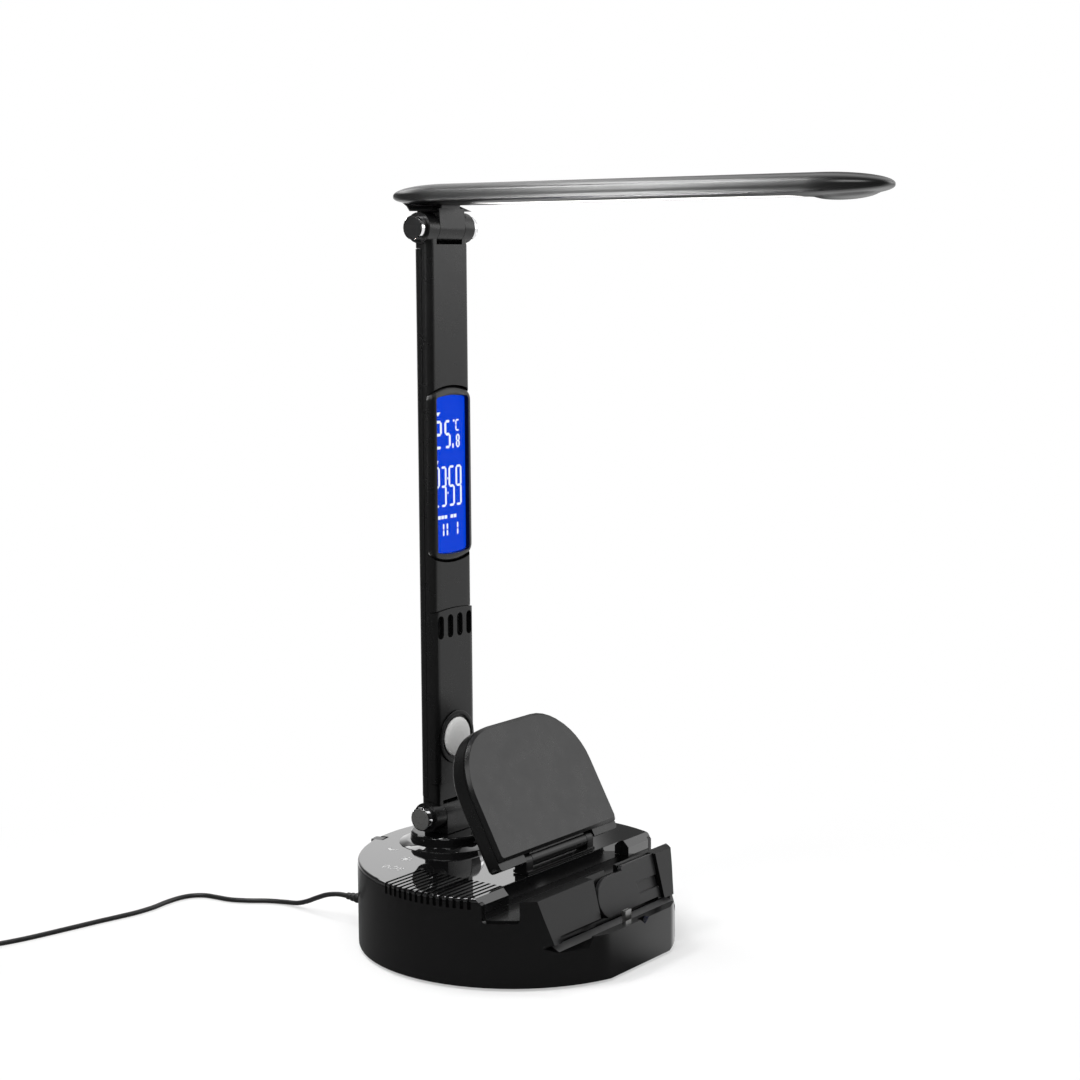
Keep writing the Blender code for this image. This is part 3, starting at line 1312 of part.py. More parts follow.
def make_neck(carrier):
    """Tongue of the upper hinge, flaring out over the ears, with a stub that enters the head."""
    top = HEAD_BOTTOM - GAP
    foot = UPPER_HINGE_HEIGHT + HINGE_RADIUS + HINGE_RUNNING_GAP
    outline = arc((SWIVEL_Y, UPPER_HINGE_HEIGHT), HINGE_RADIUS, -math.pi, 0, ROUND_STEPS // 2)
    crown = (foot + top) / 2
    outline += [(SWIVEL_Y + NECK_HALF_DEPTH, crown), (SWIVEL_Y - NECK_HALF_DEPTH, crown)]
    neck = piece(
        "head_neck", prism(outline, -TONGUE_HALF_WIDTH, TONGUE_HALF_WIDTH, "X"), SATIN_BLACK, carrier
    )
    flare = stack(
        [
            (flare_outline(FLARE_FOOT_HALF_WIDTH, FLARE_FOOT_HALF_WIDTH, FLARE_FOOT_HALF_DEPTH, FLARE_FOOT_HALF_DEPTH), foot),
            (flare_outline(FLARE_TOP_HALF_WIDTH, FIN_MIDDLE_HALF_WIDTH, FLARE_TOP_HALF_DEPTH, FIN_MIDDLE_REACH), top),
            (
                flare_outline(FLARE_TOP_HALF_WIDTH, FIN_END_HALF_WIDTH, FLARE_TOP_HALF_DEPTH, FIN_END_REACH),
                HEAD_CENTRE_HEIGHT - HEAD_DROP / 4,
            ),
        ]
    )
    flare = combined(flare, "DIFFERENCE", head_half(False, -GAP, 0), "flare")
    join(neck, flare, stub_box(0, crown, top + STUB_RISE))
    cut(neck, pin_hole(UPPER_HINGE_HEIGHT))


def flare_outline(front_half_width, rear_half_width, ahead, behind):
    """Outline of the neck's flare, which narrows evenly from its front to its fin at the rear."""
    half = front_half_width
    points = []
    for x, y in rounded_box((-half, SWIVEL_Y - ahead), (half, SWIVEL_Y + behind), FLARE_CORNER, 2):
        share = (y - SWIVEL_Y + ahead) / (ahead + behind)
        points.append((x * (1 + (rear_half_width / half - 1) * share), y))
    return points


# Charging pad


def pad_outline(inset, foot):
    """Outline of the pad across its width and along its length, with large upper corners."""
    half = PAD_HALF_WIDTH - inset
    top = PAD_TOP - inset
    large = PAD_TOP_CORNER - inset
    small = PAD_BOTTOM_CORNER
    low = foot + inset
    points = arc((half - small, low + small), small, -math.pi / 2, 0, CORNER_STEPS)
    points += arc((half - large, top - large), large, 0, math.pi / 2, CORNER_STEPS * 2)
    points += arc((large - half, top - large), large, math.pi / 2, math.pi, CORNER_STEPS * 2)
    points += arc((small - half, low + small), small, math.pi, 1.5 * math.pi, CORNER_STEPS)
    return points


def pad_block(low, high):
    return moved(box(low, high), PAD_FRAME)


def make_pad(carrier):
    chamfer = PAD_FRONT_CHAMFER
    front_back = PAD_FRONT_FACE - PAD_FRONT_THICKNESS
    levels = [
        (pad_outline(chamfer, PAD_FRONT_FOOT), -PAD_FRONT_FACE),
        (pad_outline(0, PAD_FRONT_FOOT), -PAD_FRONT_FACE + chamfer),
        (pad_outline(0, PAD_FRONT_FOOT), -front_back),
    ]
    piece("pad_front_plate", moved(stack(levels, "Y"), PAD_FRAME), SATIN_BLACK, carrier)
    seam = front_back - GAP
    round_off = PAD_BACK_ROUND
    levels = [(pad_outline(0, PAD_SIDE_FOOT), -seam)]
    for i in range(CORNER_STEPS):
        angle = math.pi / 2 * i / (CORNER_STEPS - 1)
        depth = -PAD_BACK_FACE - round_off + round_off * math.sin(angle)
        levels.append((pad_outline(round_off * (1 - math.cos(angle)), PAD_SIDE_FOOT), depth))
    back = piece("pad_back_shell", moved(stack(levels, "Y"), PAD_FRAME), GREY_BLACK, carrier)
    wall = PAD_WALL
    foot = PAD_BARREL_RADIUS + wall
    hollow = prism(pad_outline(wall, foot), -seam - OVERRUN, -PAD_BACK_FACE - wall, "Y")
    lug_clear = PAD_BARREL_HALF + PAD_LUG_THICKNESS + GAP * 3
    under = PAD_BARREL_RADIUS + GAP * 2
    notch = pad_block(
        (-lug_clear, -PAD_TOP, PAD_SIDE_FOOT - OVERRUN), (lug_clear, PAD_TOP, under)
    )
    cut(back, moved(hollow, PAD_FRAME), notch)
    half = PAD_TONGUE_HALF_THICKNESS
    tongue = pad_block((-PAD_BARREL_HALF, -half, 0), (PAD_BARREL_HALF, half, under + wall / 2))
    barrel = moved(
        rod(PAD_BARREL_RADIUS, -PAD_BARREL_HALF, PAD_BARREL_HALF, "X", (0, 0), ROUND_STEPS), PAD_FRAME
    )
    join(back, tongue, barrel)
    bore = rod(PAD_PIN_RADIUS + GAP, -PAD_HALF_WIDTH, PAD_HALF_WIDTH, "X", (0, 0), 12)
    cut(back, moved(bore, PAD_FRAME))
    coil = washer(
        COIL_OUTER, COIL_INNER, -seam + GAP, -seam + GAP + COIL_THICKNESS, "Y", (0, COIL_HEIGHT)
    )
    piece("charging_coil", moved(coil, PAD_FRAME), COPPER, carrier)


def make_pad_bracket():
    """Bracket on the cover with a lug at each end of the pad's hinge, and the hinge pin."""
    bottom = BASE_HEIGHT + GAP
    top = bottom + BRACKET_THICKNESS
    outer = PAD_BARREL_HALF + GAP + PAD_LUG_THICKNESS
    reach = PAD_BARREL_RADIUS + BRACKET_MARGIN
    bracket = piece(
        "pad_bracket",
        box((-outer, PAD_HINGE_Y - reach, bottom), (outer, PAD_HINGE_Y + reach, top)),
        GREY_BLACK,
    )
    outline = [(PAD_HINGE_Y + PAD_BARREL_RADIUS, bottom + BRACKET_THICKNESS / 2)]
    outline += arc((PAD_HINGE_Y, PAD_HINGE_Z), PAD_BARREL_RADIUS, 0, math.pi, ROUND_STEPS // 2)
    outline.append((PAD_HINGE_Y - PAD_BARREL_RADIUS, bottom + BRACKET_THICKNESS / 2))
    for side in (-1, 1):
        ends = sorted((side * (PAD_BARREL_HALF + GAP), side * outer))
        join(bracket, prism(outline, ends[0], ends[1], "X"))
    centre = (PAD_HINGE_Y, PAD_HINGE_Z)
    cut(bracket, rod(PAD_PIN_RADIUS + GAP, -outer - OVERRUN, outer + OVERRUN, "X", centre, 12))
    piece("pad_hinge_pin", rod(PAD_PIN_RADIUS, -outer, outer, "X", centre, 12), STEEL)


# Cord


def smooth_route(route, step):
    """Evenly spaced points on a smooth curve through the route's points."""
    points = [Vector(point) for point in route]
    first = points[0] * 2 - points[1]
    last = points[-1] * 2 - points[-2]
    padded = [first, *points, last]
    fine = 12
    curve = []
    for p0, p1, p2, p3 in zip(padded, padded[1:], padded[2:], padded[3:]):
        for i in range(fine):
            t = i / fine
            curve.append(
                0.5
                * (
                    2 * p1
                    + (p2 - p0) * t
                    + (2 * p0 - 5 * p1 + 4 * p2 - p3) * t**2
                    + (3 * p1 - p0 - 3 * p2 + p3) * t**3
                )
            )
    curve.append(points[-1])
    lengths = [0.0]
    for a, b in zip(curve, curve[1:]):
        lengths.append(lengths[-1] + (b - a).length)
    count = max(2, round(lengths[-1] / step))
    even = []
    index = 0
    for i in range(count + 1):
        wanted = lengths[-1] * i / count
        while index < len(lengths) - 2 and lengths[index + 1] < wanted:
            index += 1
        share = (wanted - lengths[index]) / (lengths[index + 1] - lengths[index])
        even.append(curve[index].lerp(curve[index + 1], min(share, 1)))
    return even, lengths[-1]


def tube(name, points, radius, resolution, look):
    """Round tube along a path."""
    data = bpy.data.curves.new(name, "CURVE")
    data.dimensions = "3D"
    data.bevel_depth = radius
    data.bevel_resolution = resolution
    data.use_fill_caps = True
    spline = data.splines.new("POLY")
    spline.points.add(len(points) - 1)
    for target, point in zip(spline.points, points):
        target.co = (*point, 1)
    thing = bpy.data.objects.new(name, data)
    bpy.context.scene.collection.objects.link(thing)
    data.materials.append(finish(f"{name}_finish", look))
    return thing


def eased(share):
    return share * share * (3 - 2 * share)


def coil_points(start, direction, turns_per_layer):
    """Points of the coil: layers that spiral in and out by turns, climbing where the spiral turns back.

    It starts straight along direction, and ends straight, on the desk beside the coil."""
    side = Vector((-direction.y, direction.x, 0))
    outer = COIL_MIDDLE_RADIUS + COIL_PITCH * turns_per_layer / 2
    inner = COIL_MIDDLE_RADIUS - COIL_PITCH * turns_per_layer / 2
    entry = start + direction * CORD_DIAMETER * 1.5
    centre = entry + side * outer
    angle_0 = math.atan2(-side.y, -side.x)
    steps = round(turns_per_layer * COIL_TURN_STEPS)
    points = [start, start + direction * CORD_DIAMETER]
    climb = COIL_TURN_STEPS // 4
    for i in range(COIL_LAYERS * steps + 1):
        layer, within = divmod(i, steps)
        if i == COIL_LAYERS * steps:
            layer, within = COIL_LAYERS - 1, steps
        share = within / steps
        radius = outer + (inner - outer) * (share if layer % 2 == 0 else 1 - share)
        level = float(layer)
        if within < climb and layer > 0:
            level = layer - 1 + eased(0.5 + 0.5 * within / climb)
        if steps - within < climb and layer < COIL_LAYERS - 1:
            level = layer + eased(0.5 - 0.5 * (steps - within) / climb)
        angle = angle_0 + math.tau * i / COIL_TURN_STEPS
        offset = Vector((math.cos(angle), math.sin(angle), 0)) * radius
        points.append(centre + offset + Vector((0, 0, level * COIL_PITCH)))
    tail = (points[-1] - points[-2]).normalized()
    drop = points[-1].z - USB_HALF_HEIGHT - GAP
    tail_start = points[-1].copy()
    tail_length = CORD_DIAMETER * 14
    tail_steps = 9
    for i in range(1, tail_steps + 1):
        share = i / tail_steps
        fall = drop * eased(min(1, max(0, (share - 0.1) / 0.75)))
        points.append(tail_start + tail * tail_length * share - Vector((0, 0, fall)))
    return points, centre, tail


def path_length(points):
    return sum((b - a).length for a, b in zip(points, points[1:]))


def least_gap(points, radius, skip):
    """Smallest gap between stretches of one tube that lie more than skip points apart."""
    least = math.inf
    for i, a in enumerate(points):
        for b in points[i + skip :]:
            least = min(least, (a - b).length - 2 * radius)
    return least


def make_cord():
    radius = CORD_DIAMETER / 2
    stretch, stretch_length = smooth_route(CORD_ROUTE, ROUTE_STEP)
    tube("cord_stretch", stretch, radius, 2, CORD_BLACK)
    direction = (stretch[-1] - stretch[-2]).normalized()
    direction.z = 0
    direction.normalize()
    start = stretch[-1] + direction * GAP
    wanted = CORD_LENGTH - stretch_length
    points, centre, tail = coil_points(start, direction, COIL_TURNS_PER_LAYER)
    tube("cord_coil", points, radius, 1, CORD_BLACK)
    gap = least_gap(points, radius, COIL_TURN_STEPS // 2)
    print(f"cord: {stretch_length:.3f} m stretch, {path_length(points):.3f} m coil, wanted {wanted:.3f} m")
    print(f"coil: least gap to itself {gap * 1000:.2f} mm, centre {centre.x:.4f}, {centre.y:.4f}")
    make_tie(centre, start.z, direction)
    make_usb_plug(points[-1], tail)
    make_strain_relief()


def make_tie(centre, height, direction):
    """Strap round the coil's bundle."""
    radius = CORD_DIAMETER / 2
    reach = COIL_PITCH * COIL_TURNS_PER_LAYER / 2 + radius + GAP
    low = height - radius - GAP
    high = height + COIL_PITCH * (COIL_LAYERS - 1) + radius + GAP
    inner = rounded_box((-reach, low), (reach, high), TIE_CORNER, 3)
    grow = TIE_THICKNESS
    outer = rounded_box((-reach - grow, low - grow), (reach + grow, high + grow), TIE_CORNER + grow, 3)
    turn = math.atan2(direction.y, direction.x)
    side = Vector((-direction.x, -direction.y, 0))
    middle = centre + side * COIL_MIDDLE_RADIUS
    frame = Matrix.Translation((middle.x, middle.y, 0)) @ Matrix.Rotation(turn, 4, "Z")
    tie = piece("cord_tie", moved(prism(outer, -TIE_WIDTH / 2, TIE_WIDTH / 2, "Y"), frame), RUBBER_BLACK)
    cut(tie, moved(prism(inner, -TIE_WIDTH, TIE_WIDTH, "Y"), frame))


def make_usb_plug(end, direction):
    """Plug at the far end of the cord, lying on the desk."""
    flat = Vector((direction.x, direction.y, 0)).normalized()
    turn = math.atan2(flat.y, flat.x) - math.pi / 2
    start = end + flat * GAP
    frame = Matrix.Translation((start.x, start.y, end.z)) @ Matrix.Rotation(turn, 4, "Z")
    neck = CORD_DIAMETER
    half = (USB_HALF_WIDTH, USB_HALF_HEIGHT)
    steps = 3

    def outline(share):
        low = (-neck / 2 - (half[0] - neck / 2) * share, -neck / 2 - (half[1] - neck / 2) * share)
        high = (-low[0], -low[1])
        return rounded_box(low, high, min(USB_CORNER, high[1] * 0.9), steps)

    taper = USB_LENGTH / 3
    levels = [(outline(0.2), 0), (outline(0.55), taper / 2), (outline(1), taper), (outline(1), USB_LENGTH)]
    piece("usb_plug_body", moved(stack(levels, "Y"), frame), CORD_BLACK)
    low = (-USB_TONGUE_HALF_WIDTH, -USB_TONGUE_HALF_HEIGHT)
    high = (USB_TONGUE_HALF_WIDTH, USB_TONGUE_HALF_HEIGHT)
    shell = prism(rounded_box(low, high, GAP, 2), USB_LENGTH + GAP, USB_LENGTH + USB_TONGUE_LENGTH, "Y")
    metal = piece("usb_plug_shell", moved(shell, frame), CHROME)
    wall = GAP * 2
    mouth = box(
        (low[0] + wall, USB_LENGTH + USB_TONGUE_LENGTH / 3, 0),
        (high[0] - wall, USB_LENGTH + USB_TONGUE_LENGTH + OVERRUN, high[1] - wall),
    )
    cut(metal, moved(mouth, frame))


def make_strain_relief():
    """Plug in the power inlet with its tapered, ribbed strain relief."""
    centre = (INLET_X, INLET_HEIGHT)
    face = plug_face_y() + GAP
    sleeve = face + PLUG_SLEEVE
    levels = [(circle(PLUG_RADIUS, SMALL_STEPS, centre), face), (circle(PLUG_RADIUS, SMALL_STEPS, centre), sleeve)]
    ribs = 4
    length = PLUG_BACK - sleeve
    for i in range(ribs):
        start = sleeve + length * (i + 0.35) / ribs
        end = sleeve + length * (i + 1) / ribs
        radius = PLUG_RADIUS + (RELIEF_END_RADIUS - PLUG_RADIUS) * (i + 1) / ribs
        levels.append((circle(radius * 0.88, SMALL_STEPS, centre), start))
        levels.append((circle(radius, SMALL_STEPS, centre), start + (end - start) * 0.3))
        levels.append((circle(radius, SMALL_STEPS, centre), end))
    piece("strain_relief", stack(levels, "Y"), CORD_BLACK)


def main():
    for thing in list(bpy.data.objects):
        bpy.data.objects.remove(thing)
    make_underside()
    make_housing()
    make_cover()
    make_tray()
    make_dock_plate()
    make_connector()
    make_speaker()
    make_inlet()
    make_pad_bracket()
    swivel = axis_empty("swivel_axis", SWIVEL_AXIS)
    stem = axis_empty("stem_axis", STEM_AXIS, swivel)
    head = axis_empty("head_axis", HEAD_AXIS, stem)
    pad = axis_empty("pad_axis", PAD_AXIS)
    reach = BASE_RADIUS + BUTTON_PROUD
    rim = Vector((reach * math.cos(BUTTON_ANGLE), reach * math.sin(BUTTON_ANGLE), BUTTON_TOP))
    button = axis_empty("button_axis", rim)
    make_turntable(swivel)
    make_stem(stem)
    make_display(stem)
    make_panel(stem)
    make_head(head)
    make_pad(pad)
    make_button(button)
    make_cord()
    bpy.context.view_layer.update()


main()
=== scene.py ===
"""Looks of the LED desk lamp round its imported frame: camera, cord, fine pieces, materials, floor and light.

Lengths are metres in the frame's own axes: +Z up, front -Y, origin at the base's centre on the floor.
"""

import math

import bmesh
import bpy
from mathutils import Matrix, Vector


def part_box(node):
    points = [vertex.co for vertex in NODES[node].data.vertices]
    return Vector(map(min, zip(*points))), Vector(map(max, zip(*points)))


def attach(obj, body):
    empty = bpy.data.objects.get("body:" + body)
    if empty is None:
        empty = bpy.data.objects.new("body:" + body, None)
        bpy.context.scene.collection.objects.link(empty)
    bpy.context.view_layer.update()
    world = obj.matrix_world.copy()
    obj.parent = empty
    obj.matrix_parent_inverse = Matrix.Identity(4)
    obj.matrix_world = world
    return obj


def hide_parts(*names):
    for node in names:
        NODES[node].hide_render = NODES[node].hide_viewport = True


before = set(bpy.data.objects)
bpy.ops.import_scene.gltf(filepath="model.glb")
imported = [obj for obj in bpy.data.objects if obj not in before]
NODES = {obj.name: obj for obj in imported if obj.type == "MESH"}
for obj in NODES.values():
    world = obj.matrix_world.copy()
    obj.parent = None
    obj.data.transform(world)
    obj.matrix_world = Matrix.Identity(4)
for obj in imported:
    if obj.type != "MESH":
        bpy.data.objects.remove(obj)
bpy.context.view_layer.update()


# Camera of the photograph: its place, direction, roll and lens
CAMERA_PLACE = Vector((-0.93243, -0.69929, 0.37434))
CAMERA_AZIMUTH = math.radians(-53.82)
CAMERA_PITCH = math.radians(7.41)
CAMERA_ROLL = math.radians(-0.3393)
CAMERA_SENSOR = 36.0
CAMERA_LENS = 72.53


def add_camera():
    """Adds the camera, turned to look from its azimuth and pitch and rolled about its line of sight."""
    level = math.cos(CAMERA_PITCH)
    reach = (math.sin(CAMERA_AZIMUTH) * level, -math.cos(CAMERA_AZIMUTH) * level)
    back = Vector((*reach, math.sin(CAMERA_PITCH)))
    flat_side = (-back).cross(Vector((0, 0, 1))).normalized()
    flat_up = flat_side.cross(-back)
    side = math.cos(CAMERA_ROLL) * flat_side + math.sin(CAMERA_ROLL) * flat_up
    up = math.cos(CAMERA_ROLL) * flat_up - math.sin(CAMERA_ROLL) * flat_side
    data = bpy.data.cameras.new("camera")
    data.sensor_width = CAMERA_SENSOR
    data.lens = CAMERA_LENS
    data.clip_start = 0.02
    camera = bpy.data.objects.new("camera", data)
    matrix = Matrix((side, up, back)).transposed().to_4x4()
    matrix.translation = CAMERA_PLACE
    camera.matrix_world = matrix
    bpy.context.scene.collection.objects.link(camera)
    bpy.context.scene.camera = camera


add_camera()


# Materials


def new_material(name):
    """New material with its nodes, its links and its shader."""
    material = bpy.data.materials.new(name)
    material.use_nodes = True
    nodes = material.node_tree.nodes
    return material, nodes, material.node_tree.links, nodes["Principled BSDF"]


def noise(nodes, links, scale, detail=3.0, roughness=0.55, stretch=(1, 1, 1)):
    """Noise in object space."""
    place = nodes.new("ShaderNodeTexCoord")
    mapping = nodes.new("ShaderNodeMapping")
    mapping.inputs["Scale"].default_value = stretch
    texture = nodes.new("ShaderNodeTexNoise")
    texture.inputs["Scale"].default_value = scale
    texture.inputs["Detail"].default_value = detail
    texture.inputs["Roughness"].default_value = roughness
    links.new(place.outputs["Object"], mapping.inputs["Vector"])
    links.new(mapping.outputs["Vector"], texture.inputs["Vector"])
    return texture.outputs["Fac"]


def ranged(nodes, links, source, low, high, start=0.3, end=0.7, smooth=False):
    """Maps a value between start and end to one between low and high."""
    node = nodes.new("ShaderNodeMapRange")
    if smooth:
        node.interpolation_type = "SMOOTHSTEP"
    node.inputs["From Min"].default_value = start
    node.inputs["From Max"].default_value = end
    node.inputs["To Min"].default_value = low
    node.inputs["To Max"].default_value = high
    links.new(source, node.inputs["Value"])
    return node.outputs["Result"]


def blend_colours(nodes, links, factor, first, second):
    """Colour between two colours or sockets."""
    node = nodes.new("ShaderNodeMix")
    node.data_type = "RGBA"
    colours = [socket for socket in node.inputs if socket.type == "RGBA"]
    for socket, colour in zip(colours, (first, second)):
        if isinstance(colour, tuple):
            socket.default_value = (*colour, 1)
        else:
            links.new(colour, socket)
    links.new(factor, node.inputs[0])
    return next(socket for socket in node.outputs if socket.type == "RGBA")


def bump(nodes, links, shader, height, strength, distance):
    """Tilts the shader's normal by a height."""
    node = nodes.new("ShaderNodeBump")
    node.inputs["Strength"].default_value = strength
    node.inputs["Distance"].default_value = distance
    links.new(height, node.inputs["Height"])
    links.new(node.outputs["Normal"], shader.inputs["Normal"])


def plastic(name, colour, roughness, drift=0.05, grain=2600, depth=0.00002, shine=0.5):
    """Moulded plastic: a fine grain, a polish that drifts and a slow change of tone."""
    material, nodes, links, shader = new_material(name)
    slow = noise(nodes, links, 26, 4)
    fine = noise(nodes, links, grain, 2)
    lighter = tuple(value * 1.25 + 0.0004 for value in colour)
    darker = tuple(value * 0.75 for value in colour)
    links.new(blend_colours(nodes, links, slow, darker, lighter), shader.inputs["Base Color"])
    cloudy = noise(nodes, links, 70, 5, 0.7)
    polish = ranged(nodes, links, cloudy, roughness - drift, roughness + drift)
    links.new(polish, shader.inputs["Roughness"])
    shader.inputs["Specular IOR Level"].default_value = shine
    bump(nodes, links, shader, fine, 0.35, depth)
    return material


def polished(name, colour, roughness, coat=0.0):
    """Glossy moulded plastic with faint wipe marks and a little dust in its polish."""
    material, nodes, links, shader = new_material(name)
    slow = noise(nodes, links, 18, 4)
    lighter = tuple(value * 1.3 + 0.0005 for value in colour)
    links.new(blend_colours(nodes, links, slow, colour, lighter), shader.inputs["Base Color"])
    wipes = noise(nodes, links, 45, 6, 0.65, (1, 0.35, 1))
    links.new(ranged(nodes, links, wipes, roughness * 0.6, roughness * 1.6), shader.inputs["Roughness"])
    shader.inputs["IOR"].default_value = 1.5
    shader.inputs["Coat Weight"].default_value = coat
    shader.inputs["Coat IOR"].default_value = 1.6
    return material


def metal(name, colour, roughness, grain, depth=0.000006):
    """Metal with fine marks from polishing."""
    material, nodes, links, shader = new_material(name)
    shader.inputs["Metallic"].default_value = 1.0
    marks = noise(nodes, links, grain, 4, 0.6)
    darker = tuple(value * 0.86 for value in colour)
    links.new(blend_colours(nodes, links, marks, darker, colour), shader.inputs["Base Color"])
    links.new(ranged(nodes, links, marks, roughness * 0.7, roughness * 1.35), shader.inputs["Roughness"])
    bump(nodes, links, shader, marks, 0.3, depth)
    return material


def rubber(name, colour, roughness=0.75):
    """Matt rubber with a fine grain."""
    material, nodes, links, shader = new_material(name)
    fine = noise(nodes, links, 1500, 4)
    lighter = tuple(value * 1.6 for value in colour)
    links.new(blend_colours(nodes, links, fine, colour, lighter), shader.inputs["Base Color"])
    links.new(ranged(nodes, links, fine, roughness - 0.08, roughness + 0.08), shader.inputs["Roughness"])
    bump(nodes, links, shader, fine, 0.5, 0.00004)
    return material


def board(name):
    """Circuit board lacquer with faint traces."""
    material, nodes, links, shader = new_material(name)
    place = nodes.new("ShaderNodeTexCoord")
    brick = nodes.new("ShaderNodeTexBrick")
    brick.inputs["Scale"].default_value = 160
    brick.inputs["Color1"].default_value = (0.02, 0.13, 0.06, 1)
    brick.inputs["Color2"].default_value = (0.03, 0.19, 0.08, 1)
    brick.inputs["Mortar"].default_value = (0.1, 0.3, 0.12, 1)
    links.new(place.outputs["Object"], brick.inputs["Vector"])
    links.new(brick.outputs["Color"], shader.inputs["Base Color"])
    links.new(ranged(nodes, links, noise(nodes, links, 300), 0.3, 0.5), shader.inputs["Roughness"])
    return material


LOOKS = {
    "gloss": polished("gloss_black", (0.005, 0.005, 0.0052), 0.035),
    "cover": polished("gloss_cover", (0.005, 0.005, 0.0052), 0.035, 1.0),
    "satin": plastic("satin_black", (0.0045, 0.0045, 0.0046), 0.29, 0.04, 2600, 0.000010, shine=0.32),
    "housing": plastic("satin_housing", (0.0028, 0.0028, 0.0029), 0.20, 0.03, 2600, 0.000006, shine=0.36),
    # strip: pale grey that paints the reflection on the trough's ledge
    "strip": plastic("painted_highlight_grey", (0.060, 0.060, 0.0605), 0.45, 0.05, 1800, 0.000010, shine=0.30),
    "grey": plastic("grey_black", (0.016, 0.016, 0.0165), 0.33, 0.04, 2600, 0.000010, shine=0.32),
    "head": plastic("head_black", (0.005, 0.005, 0.0051), 0.31, 0.02, 2600, 0.0000015, shine=0.75),
    "cap": plastic("cap_black", (0.012, 0.012, 0.0122), 0.20, 0.02, 2600, 0.000004, shine=0.30),
    "rubber": rubber("rubber_black", (0.012, 0.012, 0.012)),
    "chrome": metal("chrome", (0.87, 0.87, 0.88), 0.07, 600),
    "satin_metal": metal("satin_metal", (0.50, 0.50, 0.49), 0.34, 1400),
    "steel": metal("steel", (0.46, 0.46, 0.48), 0.36, 900),
    "iron": metal("cast_iron", (0.12, 0.12, 0.125), 0.62, 500, depth=0.00005),
    "copper": metal("copper_winding", (0.72, 0.32, 0.15), 0.35, 2400),
    "board": board("board_green"),
    "cord": plastic("cord_black", (0.012, 0.012, 0.012), 0.42, 0.06, 900, 0.00003),
}


# Which look each frame node takes
NODE_LOOKS = {
    "gloss": "turntable power_button",
    "cover": "top_cover",
    "housing": "base_housing base_plate power_inlet",
    "satin": (
        "phone_tray stem_front_shell stem_rear_shell vent_panel head_top_shell head_bottom_shell "
        "head_nose head_neck pad_front_plate pad_back_shell speaker display_bezel hinge_knuckle "
        "pad_bracket sensor_ring"
    ),
    "grey": "dock_plate",
    "cap": "upper_left_cap_face upper_right_cap_face",
    "rubber": "base_pad cord_tie",
    "chrome": (
        "lower_left_cap_ring lower_right_cap_ring upper_left_cap_ring upper_right_cap_ring usb_plug_shell"
    ),
    "satin_metal": "dock_connector light_board lower_left_cap_face lower_right_cap_face",
    "steel": (
        "lower_hinge_pin upper_hinge_pin pad_hinge_pin turntable_nut "
        "plate_screw_1 plate_screw_2 plate_screw_3"
    ),
    "iron": "ballast_ring",
    "copper": "charging_coil",
    "board": "main_board clock_board",
    "cord": "cord_stretch cord_coil usb_plug_body strain_relief",
}


def paint(thing, material):
    """Gives a piece one material."""
    thing.data.materials.clear()
    thing.data.materials.append(material)


for look, names in NODE_LOOKS.items():
    for name in names.split():
        paint(NODES[name], LOOKS[look])


# Angle from which an edge is rounded, and how near points are joined before that
SHARP_EDGE = math.radians(32)
WELD_REACH = 0.00001


def soften(name, width):
    """Rounds a frame node's sharp edges a little, so that they catch the light."""
    thing = NODES[name]
    thing.data.shade_smooth()
    weld = thing.modifiers.new("Weld", "WELD")
    weld.merge_threshold = WELD_REACH
    bevel = thing.modifiers.new("Bevel", "BEVEL")
    bevel.width = width
    bevel.segments = 2
    bevel.limit_method = "ANGLE"
    bevel.angle_limit = SHARP_EDGE
    bevel.use_clamp_overlap = True
    bevel.harden_normals = True
    normals = thing.modifiers.new("Normals", "WEIGHTED_NORMAL")
    normals.keep_sharp = False
    normals.weight = 80


# Width of the rounding on each frame node's edges
EDGES = {
    0.00045: "base_housing phone_tray dock_plate pad_bracket vent_panel",
    0.0003: (
        "top_cover hinge_knuckle head_neck turntable pad_front_plate pad_back_shell "
        "power_button base_plate base_pad sensor_ring speaker power_inlet "
        "lower_left_cap_ring lower_right_cap_ring upper_left_cap_ring upper_right_cap_ring"
    ),
    0.0001: "stem_front_shell stem_rear_shell display_bezel",
    0.00015: (
        "dock_connector usb_plug_shell usb_plug_body cord_tie "
        "lower_left_cap_face lower_right_cap_face upper_left_cap_face upper_right_cap_face "
        "clock_board main_board light_board ballast_ring charging_coil"
    ),
}
for width, names in EDGES.items():
    for name in names.split():
        soften(name, width)


# Clear lens, display, sensor and light
DISPLAY_FOOT = 0.212
DISPLAY_TOP = 0.300


def lens_material():
    """Clear window of the display."""
    material, nodes, links, shader = new_material("lens_clear")
    shader.inputs["Base Color"].default_value = (0.97, 0.98, 1, 1)
    shader.inputs["Transmission Weight"].default_value = 1.0
    shader.inputs["IOR"].default_value = 1.1
    links.new(ranged(nodes, links, noise(nodes, links, 900), 0.01, 0.05), shader.inputs["Roughness"])
    return material


